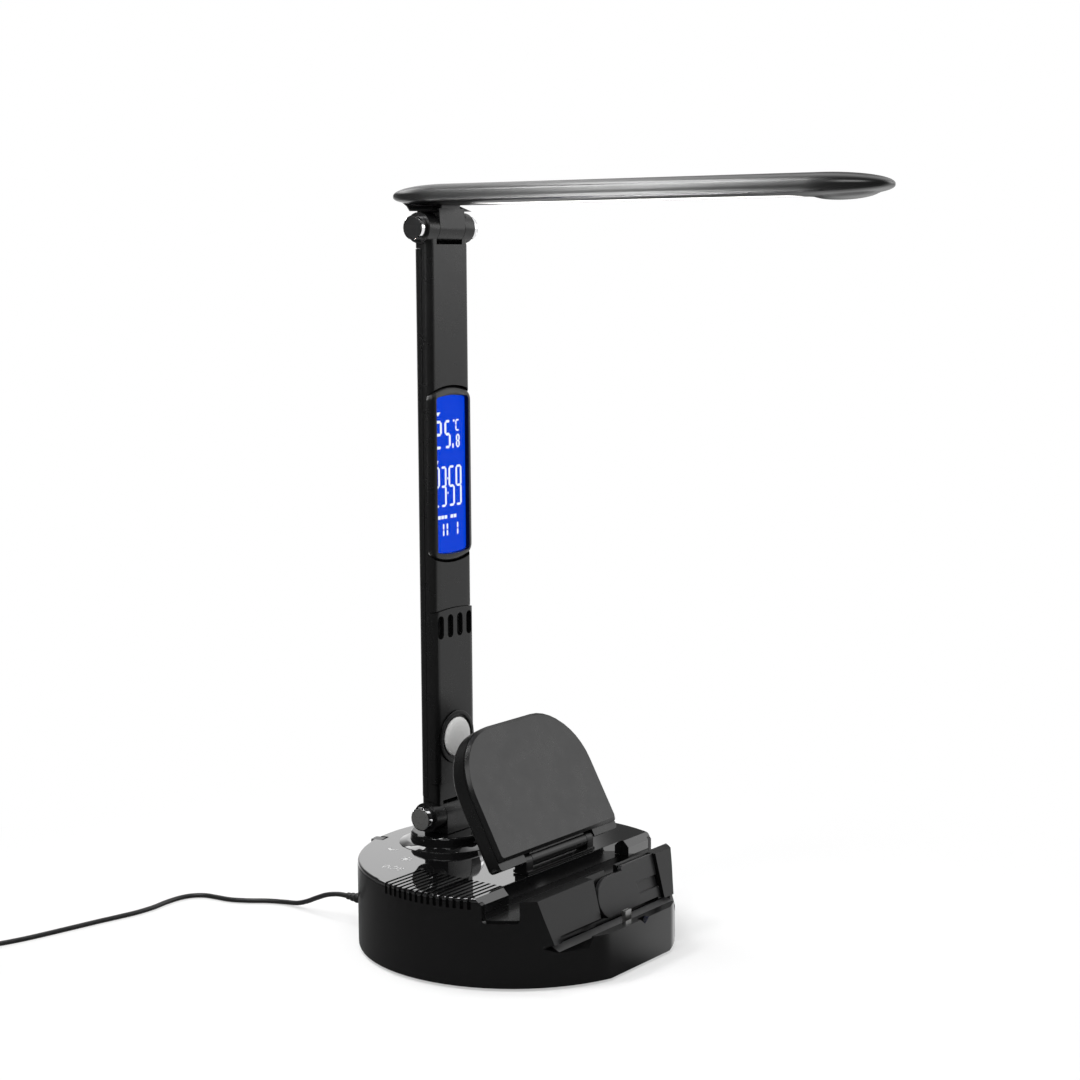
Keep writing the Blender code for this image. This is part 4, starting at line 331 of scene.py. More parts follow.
def lcd_material():
    """Lit blue field of the display, deeper towards its foot, with the fine grid of its cells."""
    material, nodes, links, shader = new_material("display_blue")
    place = nodes.new("ShaderNodeTexCoord")
    parts = nodes.new("ShaderNodeSeparateXYZ")
    links.new(place.outputs["Object"], parts.inputs["Vector"])
    rise = ranged(nodes, links, parts.outputs["Z"], 0, 1, DISPLAY_FOOT, DISPLAY_TOP)
    field = blend_colours(nodes, links, rise, (0.0010, 0.049, 0.67), (0.0, 0.048, 0.70))
    tone = noise(nodes, links, 60, 3)
    dimmer = blend_colours(nodes, links, rise, (0.0008, 0.043, 0.60), (0.0, 0.042, 0.63))
    links.new(blend_colours(nodes, links, tone, dimmer, field), shader.inputs["Emission Color"])
    shader.inputs["Emission Strength"].default_value = 1.0
    cells = nodes.new("ShaderNodeTexBrick")
    cells.inputs["Scale"].default_value = 900
    cells.inputs["Color1"].default_value = (0.0, 0.006, 0.05, 1)
    cells.inputs["Color2"].default_value = (0.0, 0.008, 0.06, 1)
    cells.inputs["Mortar"].default_value = (0.0, 0.003, 0.03, 1)
    links.new(place.outputs["Object"], cells.inputs["Vector"])
    links.new(cells.outputs["Color"], shader.inputs["Base Color"])
    shader.inputs["Roughness"].default_value = 0.6
    shader.inputs["Specular IOR Level"].default_value = 0.0
    return material


def digit_material():
    """Lit white segments."""
    material, nodes, links, shader = new_material("display_white")
    tone = noise(nodes, links, 400, 2)
    colour = blend_colours(nodes, links, tone, (0.78, 0.86, 1.0), (0.93, 0.96, 1.0))
    links.new(colour, shader.inputs["Emission Color"])
    shader.inputs["Emission Strength"].default_value = 0.95
    shader.inputs["Base Color"].default_value = (0.05, 0.06, 0.08, 1)
    shader.inputs["Roughness"].default_value = 0.6
    return material


def print_material():
    """Pale printed marks, a little worn."""
    material, nodes, links, shader = new_material("printed_marks")
    worn = noise(nodes, links, 1800, 3)
    colour = blend_colours(nodes, links, worn, (0.50, 0.50, 0.50), (0.72, 0.72, 0.72))
    links.new(colour, shader.inputs["Base Color"])
    links.new(ranged(nodes, links, worn, 0.3, 0.5), shader.inputs["Roughness"])
    return material


def sensor_material():
    """Milky dome of the motion sensor."""
    material, nodes, links, shader = new_material("sensor_white")
    fine = noise(nodes, links, 700, 3)
    colour = blend_colours(nodes, links, fine, (0.72, 0.72, 0.71), (0.78, 0.78, 0.77))
    links.new(colour, shader.inputs["Base Color"])
    links.new(ranged(nodes, links, fine, 0.28, 0.42), shader.inputs["Roughness"])
    shader.inputs["Subsurface Weight"].default_value = 0.15
    shader.inputs["Subsurface Radius"].default_value = (0.002, 0.002, 0.002)
    return material


def diffuser_material():
    """Milky strip that glows evenly."""
    material, nodes, links, shader = new_material("diffuser_white")
    tone = noise(nodes, links, 40, 3)
    colour = blend_colours(nodes, links, tone, (0.9, 0.89, 0.87), (0.96, 0.95, 0.93))
    links.new(colour, shader.inputs["Base Color"])
    links.new(colour, shader.inputs["Emission Color"])
    shader.inputs["Emission Strength"].default_value = 0.5
    shader.inputs["Roughness"].default_value = 0.5
    return material


paint(NODES["display_lens"], lens_material())
paint(NODES["clock_display"], lcd_material())
paint(NODES["motion_sensor"], sensor_material())
paint(NODES["light_diffuser"], diffuser_material())
NODES["motion_sensor"].data.shade_smooth()


# Cord: its route from the strain relief to the coil, then the coil and the tail to the plug
CORD_ROUTE = (
    (-0.0300, 0.0975, 0.0155),
    (-0.0300, 0.1045, 0.0152),
    (-0.0298, 0.1130, 0.0134),
    (-0.0290, 0.1220, 0.0098),
    (-0.0276, 0.1310, 0.0058),
    (-0.0262, 0.1400, 0.0029),
    (-0.0262, 0.1500, 0.0018),
    (-0.0300, 0.1600, 0.0017),
    (-0.0360, 0.1692, 0.0017),
    (-0.0405, 0.1790, 0.0017),
    (-0.0418, 0.1890, 0.0017),
    (-0.0430, 0.1970, 0.0017),
    (-0.0475, 0.2032, 0.0017),
    (-0.0550, 0.2062, 0.0017),
    (-0.0660, 0.2065, 0.0017),
    (-0.0780, 0.2052, 0.0017),
    (-0.0900, 0.2058, 0.0017),
    (-0.1020, 0.2082, 0.0017),
    (-0.1150, 0.2112, 0.0017),
    (-0.1300, 0.2142, 0.0017),
    (-0.1450, 0.2172, 0.0017),
    (-0.1600, 0.2206, 0.0017),
    (-0.1750, 0.2246, 0.0020),
    (-0.1900, 0.2292, 0.0026),
    (-0.1975, 0.2317, 0.0028),
    (-0.2050, 0.2342, 0.0028),
)
CORD_DIAMETER = 0.0028
COIL_LAYERS = 4
COIL_TURNS = 3
COIL_STEPS = 48
COIL_PITCH = 0.0033
COIL_RADIUS = 0.0157
TAIL_STEPS = 18
TAIL_REACH = CORD_DIAMETER * 14
USB_HALF_HEIGHT = 0.0040
GAP = 0.0003


def eased(share):
    """Share from 0 to 1 with a soft start and end."""
    return share * share * (3 - 2 * share)


def smooth_points(route, fine=10):
    """Points on a smooth curve through the route."""
    points = [Vector(point) for point in route]
    padded = [points[0] * 2 - points[1], *points, points[-1] * 2 - points[-2]]
    curve = []
    for p0, p1, p2, p3 in zip(padded, padded[1:], padded[2:], padded[3:]):
        for i in range(fine):
            t = i / fine
            curve.append(
                0.5
                * (
                    2 * p1
                    + (p2 - p0) * t
                    + (2 * p0 - 5 * p1 + 4 * p2 - p3) * t**2
                    + (3 * p1 - p0 - 3 * p2 + p3) * t**3
                )
            )
    curve.append(points[-1])
    return curve


def coil_points(start, direction):
    """Turns of the coil, layer on layer, from where the route ends, then the tail down to the plug."""
    side = Vector((-direction.y, direction.x, 0))
    outer = COIL_RADIUS + COIL_PITCH * COIL_TURNS / 2
    inner = COIL_RADIUS - COIL_PITCH * COIL_TURNS / 2
    centre = start + direction * CORD_DIAMETER * 1.5 + side * outer
    angle_0 = math.atan2(-side.y, -side.x)
    steps = COIL_TURNS * COIL_STEPS
    climb = COIL_STEPS // 4
    points = [start, start + direction * CORD_DIAMETER]
    for i in range(COIL_LAYERS * steps + 1):
        layer, within = divmod(i, steps)
        if i == COIL_LAYERS * steps:
            layer, within = COIL_LAYERS - 1, steps
        share = within / steps
        radius = outer + (inner - outer) * (share if layer % 2 == 0 else 1 - share)
        level = float(layer)
        if within < climb and layer > 0:
            level = layer - 1 + eased(0.5 + 0.5 * within / climb)
        if steps - within < climb and layer < COIL_LAYERS - 1:
            level = layer + eased(0.5 - 0.5 * (steps - within) / climb)
        angle = angle_0 + math.tau * i / COIL_STEPS
        offset = Vector((math.cos(angle), math.sin(angle), 0)) * radius
        points.append(centre + offset + Vector((0, 0, level * COIL_PITCH)))
    tail = (points[-1] - points[-2]).normalized()
    drop = points[-1].z - USB_HALF_HEIGHT - GAP
    begin = points[-1].copy()
    for i in range(1, TAIL_STEPS + 1):
        share = i / TAIL_STEPS
        fall = drop * eased(min(1, max(0, (share - 0.1) / 0.75)))
        points.append(begin + tail * TAIL_REACH * share - Vector((0, 0, fall)))
    return points


def add_cord():
    """Round cord that stands for the frame's stretch and coil."""
    route = smooth_points(CORD_ROUTE)
    direction = route[-1] - route[-2]
    direction.z = 0
    direction.normalize()
    coil = coil_points(route[-1] + direction * GAP, direction)
    points = route + coil[1:]
    data = bpy.data.curves.new("power_cord", "CURVE")
    data.dimensions = "3D"
    data.bevel_depth = CORD_DIAMETER / 2
    data.bevel_resolution = 4
    data.use_fill_caps = True
    spline = data.splines.new("POLY")
    spline.points.add(len(points) - 1)
    for target, point in zip(spline.points, points):
        target.co = (*point, 1)
    spline.use_smooth = True
    cord = bpy.data.objects.new("power_cord", data)
    bpy.context.scene.collection.objects.link(cord)
    data.materials.append(LOOKS["cord"])
    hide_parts("cord_stretch", "cord_coil")
    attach(cord, "base")
    length = sum((b - a).length for a, b in zip(points, points[1:]))
    print(f"cord length {length:.4f}")


add_cord()


# Helpers for the fine pieces


def new_piece(name, mesh, look, body, angle=math.radians(35)):
    """Named piece from a bmesh, shaded smooth, on the body that carries it."""
    data = bpy.data.meshes.new(name)
    mesh.to_mesh(data)
    mesh.free()
    data.shade_smooth()
    data.set_sharp_from_angle(angle=angle)
    thing = bpy.data.objects.new(name, data)
    bpy.context.scene.collection.objects.link(thing)
    data.materials.append(look)
    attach(thing, body)
    return thing


def loft(rings):
    """Closed mesh through rings of points of equal count."""
    mesh = bmesh.new()
    rows = [[mesh.verts.new(point) for point in ring] for ring in rings]
    for low, high in zip(rows, rows[1:]):
        for i in range(len(low)):
            j = (i + 1) % len(low)
            mesh.faces.new((low[i], low[j], high[j], high[i]))
    mesh.faces.new(rows[0])
    mesh.faces.new(rows[-1])
    bmesh.ops.recalc_face_normals(mesh, faces=mesh.faces)
    return mesh


def add_prism(mesh, outline, near, far, axis="Y"):
    """Adds an extruded outline to a mesh: points are (x, z) for Y and (x, y) for Z."""
    rings = []
    for level in (near, far):
        ring = [(x, level, z) if axis == "Y" else (x, z, level) for x, z in outline]
        rings.append([mesh.verts.new(point) for point in ring])
    first, last = rings
    faces = []
    for i in range(len(outline)):
        j = (i + 1) % len(outline)
        faces.append(mesh.faces.new((first[i], first[j], last[j], last[i])))
    faces.append(mesh.faces.new(first))
    faces.append(mesh.faces.new(last))
    bmesh.ops.recalc_face_normals(mesh, faces=faces)


def polar(centre, radius, angle):
    """Point at a radius and an angle round a centre."""
    return centre[0] + radius * math.cos(angle), centre[1] + radius * math.sin(angle)


def rounded(low, high, radius, steps=8):
    """Rectangle with round corners."""
    corners = (
        ((high[0] - radius, low[1] + radius), -math.pi / 2),
        ((high[0] - radius, high[1] - radius), 0),
        ((low[0] + radius, high[1] - radius), math.pi / 2),
        ((low[0] + radius, low[1] + radius), math.pi),
    )
    turns = [math.pi / 2 * i / steps for i in range(steps + 1)]
    return [polar(centre, radius, start + turn) for centre, start in corners for turn in turns]


def carve(thing, *tools):
    """Cuts tools out of a piece for good."""
    helpers = []
    for number, tool in enumerate(tools):
        data = bpy.data.meshes.new(f"carver_{number}")
        tool.to_mesh(data)
        tool.free()
        helper = bpy.data.objects.new(f"carver_{number}", data)
        bpy.context.scene.collection.objects.link(helper)
        modifier = thing.modifiers.new("Cut", "BOOLEAN")
        modifier.object = helper
        modifier.operation = "DIFFERENCE"
        helpers.append(helper)
    bpy.context.view_layer.update()
    graph = bpy.context.evaluated_depsgraph_get()
    result = bpy.data.meshes.new_from_object(thing.evaluated_get(graph))
    thing.modifiers.clear()
    thing.data = result
    for helper in helpers:
        bpy.data.objects.remove(helper)


# Seamless skin of the head, over the frame's two halves and the swelling at its front: its section, its
# round ends, the swelling, the opening for the light strip and the socket for the neck
HEAD_MIDDLE = 0.4076
HEAD_REAR = 0.0779
HEAD_FRONT = -0.2237
HEAD_HALF_WIDTH = 0.0200
HEAD_RISE = 0.0063
HEAD_DROP = 0.0053
HEAD_TIP = 0.0360
HEAD_SHARP = math.radians(50)
ROUND_ABOVE, ROUND_BELOW = 2.3, 3.5
SECTION_STEPS = 96
SECTION_FINE = 3000
SECTION_EVEN = 0.08
NOSE_MIDDLE = -0.1997
NOSE_HALF_LENGTH = 0.0158
NOSE_HALF_WIDTH = 0.0127
NOSE_DROP = 0.0019
TIP_STEPS = 26
TIP_TURN = math.radians(89)
MIDDLE_STEPS = 110
CUT_DEPTH = 0.02
LIGHT_GAP = 0.0003
LIGHT_CORNER = 0.006
LIGHT_RECESS = 0.0008
SOCKET_LOW = (-0.0083, 0.0407)
SOCKET_HIGH = (0.0083, 0.0553)
SOCKET_CORNER = 0.001
SOCKET_RECESS = 0.002


def section_point(angle):
    """Point on the head's cross-section, sharper below than above."""
    power = ROUND_ABOVE if math.sin(angle) > 0 else ROUND_BELOW
    height = HEAD_RISE if math.sin(angle) > 0 else HEAD_DROP
    x = math.copysign(abs(math.cos(angle)) ** (2 / power), math.cos(angle))
    z = math.copysign(abs(math.sin(angle)) ** (2 / power), math.sin(angle))
    return Vector((HEAD_HALF_WIDTH * x, height * z))


def head_section():
    """Points round the cross-section, closer together where it bends more."""
    dense = [section_point(math.tau * i / SECTION_FINE) for i in range(SECTION_FINE)]
    weights = [0.0]
    for i in range(SECTION_FINE):
        before, here, after = dense[i - 1], dense[i], dense[(i + 1) % SECTION_FINE]
        turn = abs((here - before).angle(after - here, 0.0))
        weights.append(weights[-1] + (after - here).length / SECTION_EVEN + turn / math.tau)
    points = []
    place = 0
    for i in range(SECTION_STEPS):
        while weights[place + 1] < weights[-1] * i / SECTION_STEPS:
            place += 1
        points.append(dense[place])
    return points


def head_skin():
    """Skin lofted along the head from its rear end to its front end, with both openings cut out."""
    straight_rear = HEAD_REAR - HEAD_TIP
    straight_front = HEAD_FRONT + HEAD_TIP
    stations = []
    for i in range(TIP_STEPS):
        angle = TIP_TURN * (1 - i / TIP_STEPS)
        stations.append((straight_rear + HEAD_TIP * math.sin(angle), math.cos(angle)))
    for i in range(MIDDLE_STEPS + 1):
        stations.append((straight_rear + (straight_front - straight_rear) * i / MIDDLE_STEPS, 1.0))
    for i in range(1, TIP_STEPS + 1):
        angle = TIP_TURN * i / TIP_STEPS
        stations.append((straight_front - HEAD_TIP * math.sin(angle), math.cos(angle)))
    rings = []
    section = head_section()
    for y, share in stations:
        ring = []
        for x, z in (point * share for point in section):
            reach = (x / NOSE_HALF_WIDTH) ** 2 + ((y - NOSE_MIDDLE) / NOSE_HALF_LENGTH) ** 2
            if z < 0 and reach < 1:
                z -= NOSE_DROP * (1 - reach) ** 0.5 * min(1, abs(z) / (HEAD_DROP * share * 0.9)) ** 2
            ring.append((x, y, HEAD_MIDDLE + z))
        rings.append(ring)
    skin = new_piece("head_skin", loft(rings), LOOKS["head"], "head", HEAD_SHARP)
    low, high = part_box("light_diffuser")
    gap_low = (low[0] - LIGHT_GAP, low[1] - LIGHT_GAP)
    gap_high = (high[0] + LIGHT_GAP, high[1] + LIGHT_GAP)
    opening, socket = bmesh.new(), bmesh.new()
    foot = HEAD_MIDDLE - CUT_DEPTH
    add_prism(opening, rounded(gap_low, gap_high, LIGHT_CORNER), foot, HEAD_MIDDLE - LIGHT_RECESS, "Z")
    outline = rounded(SOCKET_LOW, SOCKET_HIGH, SOCKET_CORNER)
    add_prism(socket, outline, foot, HEAD_MIDDLE - SOCKET_RECESS, "Z")
    carve(skin, opening, socket)
    skin.data.set_sharp_from_angle(angle=HEAD_SHARP)
    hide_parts("head_top_shell", "head_bottom_shell", "head_nose")


head_skin()


# Digits of the display, as lit segments between the lens and the field
SEGMENTS = {"1": "bc", "2": "abged", "3": "abgcd", "5": "afgcd", "8": "abcdefg", "9": "abcdfg", "C": "adef"}
SEGMENT_GAP = 0.12
DIGITS = (
    # left, right, foot, top, bar, digit
    (-0.0134, -0.0068, 0.2706, 0.2862, 0.0015, "2"),
    (-0.0044, 0.0009, 0.2706, 0.2862, 0.0015, "5"),
    (0.0056, 0.0088, 0.2706, 0.2780, 0.0010, "8"),
    (0.0052, 0.0087, 0.2797, 0.2862, 0.0009, "C"),
    (-0.0136, -0.0090, 0.2386, 0.2610, 0.0013, "2"),
    (-0.0082, -0.0032, 0.2386, 0.2610, 0.0013, "3"),
    (-0.0013, 0.0040, 0.2386, 0.2610, 0.0013, "5"),
    (0.0049, 0.0101, 0.2386, 0.2610, 0.0013, "9"),
    (-0.0088, -0.0056, 0.2218, 0.2300, 0.0011, "1"),
    (-0.0054, -0.0023, 0.2218, 0.2300, 0.0011, "1"),
    (0.0034, 0.0068, 0.2218, 0.2300, 0.0011, "1"),
)
DIGITS_AHEAD = 0.00022
DIGITS_CLEARANCE = 0.00006
POINT_LOW, POINT_HIGH = (0.0023, 0.2706), (0.0034, 0.2730)
COLON_LEFT, COLON_RIGHT = -0.0023, -0.0017
COLON_LEVELS = (0.2455, 0.2535)
COLON_HEIGHT = 0.0012
DEGREE_PLACE = (0.0038, 0.2855)
DEGREE_RADIUS = 0.0007
ARROW = ((-0.0121, 0.2907), (-0.0101, 0.2886), (-0.0079, 0.2907))
SLANT = ((-0.0128, 0.2620), (-0.0111, 0.2620), (-0.0101, 0.2643), (-0.0112, 0.2643))
BARS_FOOT, BARS_TOP = 0.2320, 0.2339
BAR_LENGTH = 0.0022
BAR_STARTS = (-0.0108, -0.0080, -0.0052, 0.0001, 0.0029)


def segments(left, right, foot, top, bar, digit):
    """Outlines of a digit's lit segments, each a thin bar with pointed ends."""
    middle = (foot + top) / 2
    half = bar / 2
    gap = bar * SEGMENT_GAP
    places = {
        "a": ((left + half, top - half), (right - half, top - half)),
        "g": ((left + half, middle), (right - half, middle)),
        "d": ((left + half, foot + half), (right - half, foot + half)),
        "f": ((left + half, middle), (left + half, top - half)),
        "b": ((right - half, middle), (right - half, top - half)),
        "e": ((left + half, foot + half), (left + half, middle)),
        "c": ((right - half, foot + half), (right - half, middle)),
    }
    outlines = []
    for name in SEGMENTS[digit]:
        (x0, z0), (x1, z1) = places[name]
        if z0 == z1:
            x0, x1 = x0 + gap, x1 - gap
            below = ((x0 + half, z0 - half), (x1 - half, z0 - half))
            above = ((x1 - half, z0 + half), (x0 + half, z0 + half))
            outlines.append(((x0, z0), *below, (x1, z0), *above))
        else:
            z0, z1 = z0 + gap, z1 - gap
            right_of = ((x0 + half, z0 + half), (x0 + half, z1 - half))
            left_of = ((x0 - half, z1 - half), (x0 - half, z0 + half))
            outlines.append(((x0, z0), *right_of, (x0, z1), *left_of))
    return outlines


def display_digits():
    """All lit segments, points and bars of the display."""
    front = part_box("clock_display")[0][1]
    near = front - DIGITS_AHEAD
    far = front - DIGITS_CLEARANCE
    mesh = bmesh.new()
    for left, right, foot, top, bar, digit in DIGITS:
        for outline in segments(left, right, foot, top, bar, digit):
            add_prism(mesh, outline, near, far)
    add_prism(mesh, rounded(POINT_LOW, POINT_HIGH, 0.0002, 3), near, far)
    for level in COLON_LEVELS:
        outline = rounded((COLON_LEFT, level), (COLON_RIGHT, level + COLON_HEIGHT), 0.0001, 3)
        add_prism(mesh, outline, near, far)
    add_prism(mesh, [polar(DEGREE_PLACE, DEGREE_RADIUS, math.tau * i / 14) for i in range(14)], near, far)
    add_prism(mesh, ARROW, near, far)
    add_prism(mesh, SLANT, near, far)
    for start in BAR_STARTS:
        add_prism(mesh, rounded((start, BARS_FOOT), (start + BAR_LENGTH, BARS_TOP), 0.0003, 3), near, far)
    new_piece("display_digits", mesh, digit_material(), "stem")


display_digits()


# Printed marks of the touch keys on the glossy cover
COVER_HEIGHT = 0.0487
MARKS_RISE = 0.00006
MARKS_DEPTH = 0.00008
POWER_PLACE = (-0.0600, 0.0380)
POWER_OUTER, POWER_INNER = 0.0030, 0.0024
POWER_BAR_START, POWER_BAR_END, POWER_BAR_HALF = 0.0006, 0.0036, 0.0003
WAVE_REACHES = (0.0042, 0.0056)
WAVE_WIDTH = 0.0005
WAVE_TURN = math.radians(56)
SUN_PLACE = (-0.0435, 0.0430)
SUN_RADIUS = 0.0015
SUN_RAYS = 8
RAY_START, RAY_END, RAY_HALF = 0.0022, 0.0034, 0.0003
MOON_PLACE = (-0.0310, 0.0620)
MOON_RADIUS = 0.0030
MOON_BITE, MOON_BITE_RADIUS = 0.0010, 0.0026


def touch_marks():
    """Printed marks: a power ring with two waves on either side, a sun and a moon."""
    high = COVER_HEIGHT + MARKS_RISE
    low = COVER_HEIGHT - MARKS_DEPTH
    mesh = bmesh.new()

    def band(centre, outer, inner, start, end, steps=24):
        """Arc of a ring, as short blocks."""
        for i in range(steps):
            a0 = start + (end - start) * i / steps
            a1 = start + (end - start) * (i + 1) / steps
            corners = ((outer, a0), (outer, a1), (inner, a1), (inner, a0))
            outline = [polar(centre, reach, a) for reach, a in corners]
            add_prism(mesh, outline, low, high, "Z")

    x, y = POWER_PLACE
    band(POWER_PLACE, POWER_OUTER, POWER_INNER, math.radians(60), math.radians(300))
    bar_low, bar_high = (x + POWER_BAR_START, y - POWER_BAR_HALF), (x + POWER_BAR_END, y + POWER_BAR_HALF)
    add_prism(mesh, rounded(bar_low, bar_high, 0.0002, 3), low, high, "Z")
    for side in (-1, 1):
        for reach in WAVE_REACHES:
            start = math.pi / 2 * side - WAVE_TURN / 2
            band(POWER_PLACE, reach + WAVE_WIDTH, reach, start, start + WAVE_TURN, 10)
    band(SUN_PLACE, SUN_RADIUS, 0.0, 0, math.tau, 18)
    for i in range(SUN_RAYS):
        a = math.tau * i / SUN_RAYS
        side = Vector((-math.sin(a), math.cos(a))) * RAY_HALF
        near = Vector(polar(SUN_PLACE, RAY_START, a))
        far = Vector(polar(SUN_PLACE, RAY_END, a))
        add_prism(mesh, (near - side, far - side, far + side, near + side), low, high, "Z")
    crescent = [polar(MOON_PLACE, MOON_RADIUS, math.radians(60 + 240 * i / 16)) for i in range(17)]
    bite = (MOON_PLACE[0] + MOON_BITE, MOON_PLACE[1])
    crescent += [polar(bite, MOON_BITE_RADIUS, math.radians(290 - 220 * i / 16)) for i in range(1, 16)]
    add_prism(mesh, crescent, low, high, "Z")
    new_piece("touch_marks", mesh, print_material(), "base")


touch_marks()


# Dark gauze behind the vents: its reach below the vent panel's top, its half width and its wires
GAUZE_TOP = 0.0016
GAUZE_FOOT = 0.0192
GAUZE_HALF = 0.0145
GAUZE_WALL = 0.0442
WIRES = 21
WIRE_HALF = 0.0002


def vent_screen():
    """Upright wires in front of a plate with round corners."""
    panel_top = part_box("vent_panel")[1][2]
    foot, top = panel_top - GAUZE_FOOT, panel_top - GAUZE_TOP
    mesh = bmesh.new()
    plate = rounded((-GAUZE_HALF, foot), (GAUZE_HALF, top), 0.001, 4)
    add_prism(mesh, plate, GAUZE_WALL + 0.0005, GAUZE_WALL + 0.0009)
    for i in range(1, WIRES + 1):
        x = -GAUZE_HALF + 2 * GAUZE_HALF * i / (WIRES + 1)
        left, right = x - WIRE_HALF, x + WIRE_HALF
        wire = ((left, foot), (right, foot), (right, top), (left, top))
        add_prism(mesh, wire, GAUZE_WALL + 0.0001, GAUZE_WALL + 0.0004)
    new_piece("vent_screen", mesh, LOOKS["rubber"], "stem")


vent_screen()


# Pale strip on the sloping ledge of the trough, a painted reflection of the bright studio that the ledge
# catches: the ledge's top edge and foot as (y, z), half the strip's length, where it starts and ends down the
# slope, and how far its two faces stand off it
LEDGE_TOP = Vector((-0.0628, 0.0220))
LEDGE_FOOT = Vector((-0.0677, 0.0197))
STRIP_HALF = 0.0540
STRIP_START, STRIP_END = 0.0002, 0.0052
STRIP_UNDER, STRIP_OVER = 0.00002, 0.00014


def ledge_painted_highlight():
    """Thin pale strip along the trough's ledge: a painted reflection."""
    slope = (LEDGE_FOOT - LEDGE_TOP).normalized()
    up = Vector((slope.y, -slope.x))
    corners = (
        (STRIP_START, STRIP_UNDER),
        (STRIP_END, STRIP_UNDER),
        (STRIP_END, STRIP_OVER),
        (STRIP_START, STRIP_OVER),
    )
    outline = [LEDGE_TOP + slope * along + up * rise for along, rise in corners]
    rings = [[(x, y, z) for y, z in outline] for x in (-STRIP_HALF, STRIP_HALF)]
    new_piece("ledge_painted_highlight", loft(rings), LOOKS["strip"], "base")


ledge_painted_highlight()


# Dark liners in the seams between the ears' webs and the rear shell, painted shade that keeps the seams dark
# instead of open: the right one's outline, both levels
LINER = (
    (0.0112, 0.0483),
    (0.0168, 0.0483),
    (0.0168, 0.0500),
    (0.0160, 0.0520),
    (0.0145, 0.0531),
    (0.0112, 0.0531),
)
LINER_LEVELS = (0.0770, 0.37915)
LINER_THICKNESS = 0.0002


def seam_painted_shade():
    """Four thin dark liners of painted shade, one at each ear."""
    mesh = bmesh.new()
    for level in LINER_LEVELS:
        for side in (-1, 1):
            add_prism(mesh, [(side * x, y) for x, y in LINER], level, level + LINER_THICKNESS, "Z")
    new_piece("seam_painted_shade", mesh, LOOKS["rubber"], "stem")


seam_painted_shade()


# Floor and light: tones of the studio in reflections, where its dark rear screen starts, by direction, and
# how much of the floor glows near the lamp and in reflections
STUDIO_DIM = 0.07
STUDIO_PLAIN = 0.6
DARK_SIDE = (0.772, 0.800)
DARK_REAR = (0.30, 0.40)
FLOOR_GLOW = 0.45
FLOOR_MIRRORED = 0.9
FLOOR_NEAR, FLOOR_FAR = 0.12, 0.42
FLOOR_RADIUS = 40
FLOOR_DROP = 0.00002


def worked_out(nodes, links, operation, first, second):
    """Result of an operation on two numbers or sockets."""
    node = nodes.new("ShaderNodeMath")
    node.operation = operation
    for socket, value in zip(node.inputs, (first, second)):
        if isinstance(value, float):
            socket.default_value = value
        else:
            links.new(value, socket)
    return node.outputs[0]


def mixed(nodes, links, factor, first, second):
    """Number between two numbers or sockets."""
    node = nodes.new("ShaderNodeMix")
    node.data_type = "FLOAT"
    numbers = [socket for socket in node.inputs if socket.type == "VALUE"]
    for socket, value in zip(numbers[-2:], (first, second)):
        if isinstance(value, float):
            socket.default_value = value
        else:
            links.new(value, socket)
    links.new(factor, numbers[0])
    return next(socket for socket in node.outputs if socket.type == "VALUE")


def studio(nodes, links, direction, start=0.35, end=0.75):
    """Brightness of the studio round the lamp: white at +X up to the dark rear screen, dim elsewhere."""
    unit = nodes.new("ShaderNodeVectorMath")
    unit.operation = "NORMALIZE"
    links.new(direction, unit.inputs[0])
    parts = nodes.new("ShaderNodeSeparateXYZ")
    links.new(unit.outputs["Vector"], parts.inputs["Vector"])
    across, back = parts.outputs["X"], parts.outputs["Y"]
    ramp = ranged(nodes, links, across, STUDIO_DIM, 1.0, start, end, smooth=True)
    side = ranged(nodes, links, across, 0.0, 1.0, *DARK_SIDE, smooth=True)
    behind = ranged(nodes, links, back, 0.0, 1.0, *DARK_REAR)
    screen = worked_out(nodes, links, "MULTIPLY", side, behind)
    return mixed(nodes, links, screen, ramp, STUDIO_DIM)


def seen(nodes, links, path):
    """One for camera rays and rays through glass."""
    return worked_out(
        nodes, links, "MAXIMUM", path.outputs["Is Camera Ray"], path.outputs["Is Transmission Ray"]
    )


def floor_material():
    """Pale floor: lit and shadowed near the lamp, and white further off, in reflections too."""
    material, nodes, links, shader = new_material("floor_pale")
    output = nodes["Material Output"]
    slow = noise(nodes, links, 3, 3)
    colour = blend_colours(nodes, links, slow, (0.86, 0.86, 0.86), (0.88, 0.88, 0.88))
    links.new(colour, shader.inputs["Base Color"])
    shader.inputs["Roughness"].default_value = 0.9
    shader.inputs["Specular IOR Level"].default_value = 0.0
    place = nodes.new("ShaderNodeTexCoord")
    path = nodes.new("ShaderNodeLightPath")
    glow = nodes.new("ShaderNodeEmission")
    glow.inputs["Color"].default_value = (1, 1, 1, 1)
    tone = studio(nodes, links, place.outputs["Object"], -0.05, 0.45)
    links.new(mixed(nodes, links, path.outputs["Is Glossy Ray"], 1.0, tone), glow.inputs["Strength"])
    distance = nodes.new("ShaderNodeVectorMath")
    distance.operation = "LENGTH"
    links.new(place.outputs["Object"], distance.inputs[0])
    away = distance.outputs["Value"]
    fade = ranged(nodes, links, away, FLOOR_GLOW, 1.0, FLOOR_NEAR, FLOOR_FAR, smooth=True)
    faded = worked_out(nodes, links, "MULTIPLY", seen(nodes, links, path), fade)
    mirrored = worked_out(nodes, links, "MULTIPLY", path.outputs["Is Glossy Ray"], FLOOR_MIRRORED)
    share = worked_out(nodes, links, "MAXIMUM", faded, mirrored)
    mix = nodes.new("ShaderNodeMixShader")
    links.new(share, mix.inputs[0])
    links.new(shader.outputs[0], mix.inputs[1])
    links.new(glow.outputs[0], mix.inputs[2])
    links.new(mix.outputs[0], output.inputs["Surface"])
    return material


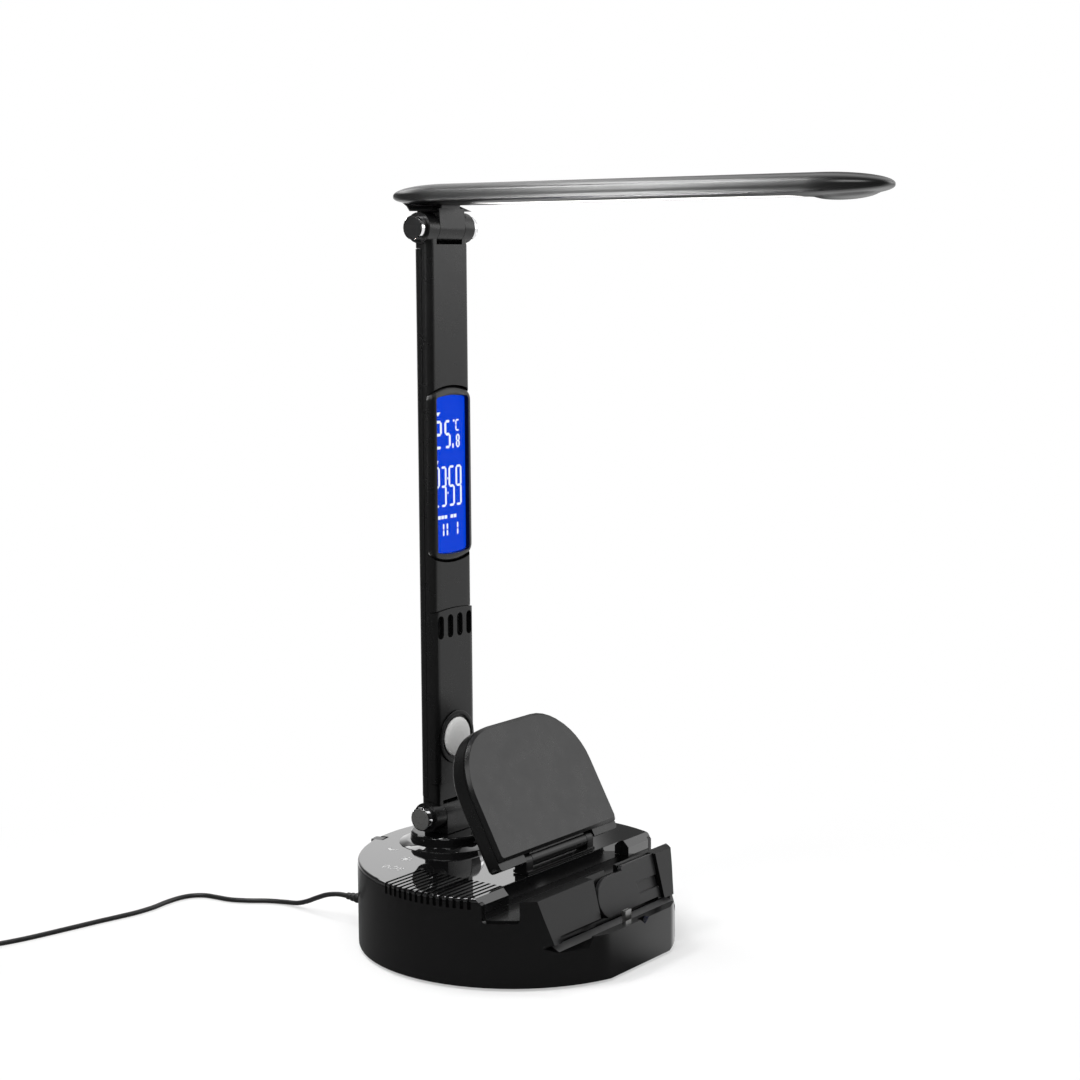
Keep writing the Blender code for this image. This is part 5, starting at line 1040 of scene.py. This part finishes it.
def add_floor():
    """Round floor, a hair below the lamp."""
    mesh = bmesh.new()
    bmesh.ops.create_circle(mesh, cap_ends=True, radius=FLOOR_RADIUS, segments=64)
    data = bpy.data.meshes.new("floor")
    mesh.to_mesh(data)
    mesh.free()
    floor = bpy.data.objects.new("floor", data)
    floor.location.z = -FLOOR_DROP
    bpy.context.scene.collection.objects.link(floor)
    data.materials.append(floor_material())


def add_light(name, place, aim, size, energy, beam=math.pi):
    """Rectangular light at a place, turned to its aim and hidden from the camera."""
    data = bpy.data.lights.new(name, "AREA")
    data.shape = "RECTANGLE"
    data.size, data.size_y = size
    data.energy = energy
    data.spread = beam
    light = bpy.data.objects.new(name, data)
    light.location = place
    light.rotation_euler = (Vector(aim) - Vector(place)).to_track_quat("-Z", "Y").to_euler()
    light.visible_camera = False
    bpy.context.scene.collection.objects.link(light)


def add_world():
    """White to the camera and through glass, the studio's tones in reflections, and plain elsewhere."""
    world = bpy.data.worlds.new("studio")
    bpy.context.scene.world = world
    world.use_nodes = True
    nodes, links = world.node_tree.nodes, world.node_tree.links
    background = nodes["Background"]
    background.inputs["Color"].default_value = (1, 1, 1, 1)
    place = nodes.new("ShaderNodeTexCoord")
    path = nodes.new("ShaderNodeLightPath")
    tone = studio(nodes, links, place.outputs["Generated"])
    lit = mixed(nodes, links, path.outputs["Is Glossy Ray"], STUDIO_PLAIN, tone)
    links.new(mixed(nodes, links, seen(nodes, links, path), lit, 1.0), background.inputs["Strength"])


add_floor()
add_world()
LIGHTS = (
    # name, place, aim, size and energy in watts
    ("key", (-0.9, -0.5, 1.5), (0, 0, 0.15), (0.9, 0.9), 9),
    ("fill", (1.1, -1.0, 0.9), (0, 0, 0.2), (0.8, 1.2), 5),
    ("rim", (0.3, 1.5, 1.3), (0, 0, 0.2), (1.4, 0.5), 6),
)
for light in LIGHTS:
    add_light(*light)

# Arch of narrow lights round the line of the head, which gives the head its glow half way along
ARCH_Y = 0.142
ARCH_RADIUS = 0.373
ARCH_AIM = Vector((0, -0.07, 0.405))
ARCH_SIZE = (0.08, 0.20)
ARCH_LIGHTS = (
    # angle in degrees, energy in watts and width of the beam in degrees
    (20, 0.75, 180),
    (52, 0.85, 180),
    (84, 1.1, 180),
    (115, 0.024, 40),
    (-25, 0.065, 34),
    (-60, 0.075, 36),
    (-95, 0.16, 40),
)
for number, (angle, energy, beam) in enumerate(ARCH_LIGHTS):
    turn = math.radians(angle)
    place = (-ARCH_RADIUS * math.cos(turn), ARCH_Y, ARCH_AIM.z + ARCH_RADIUS * math.sin(turn))
    add_light(f"arch_{number + 1}", place, ARCH_AIM, ARCH_SIZE, energy, math.radians(beam))

bpy.context.scene.view_settings.view_transform = "Standard"
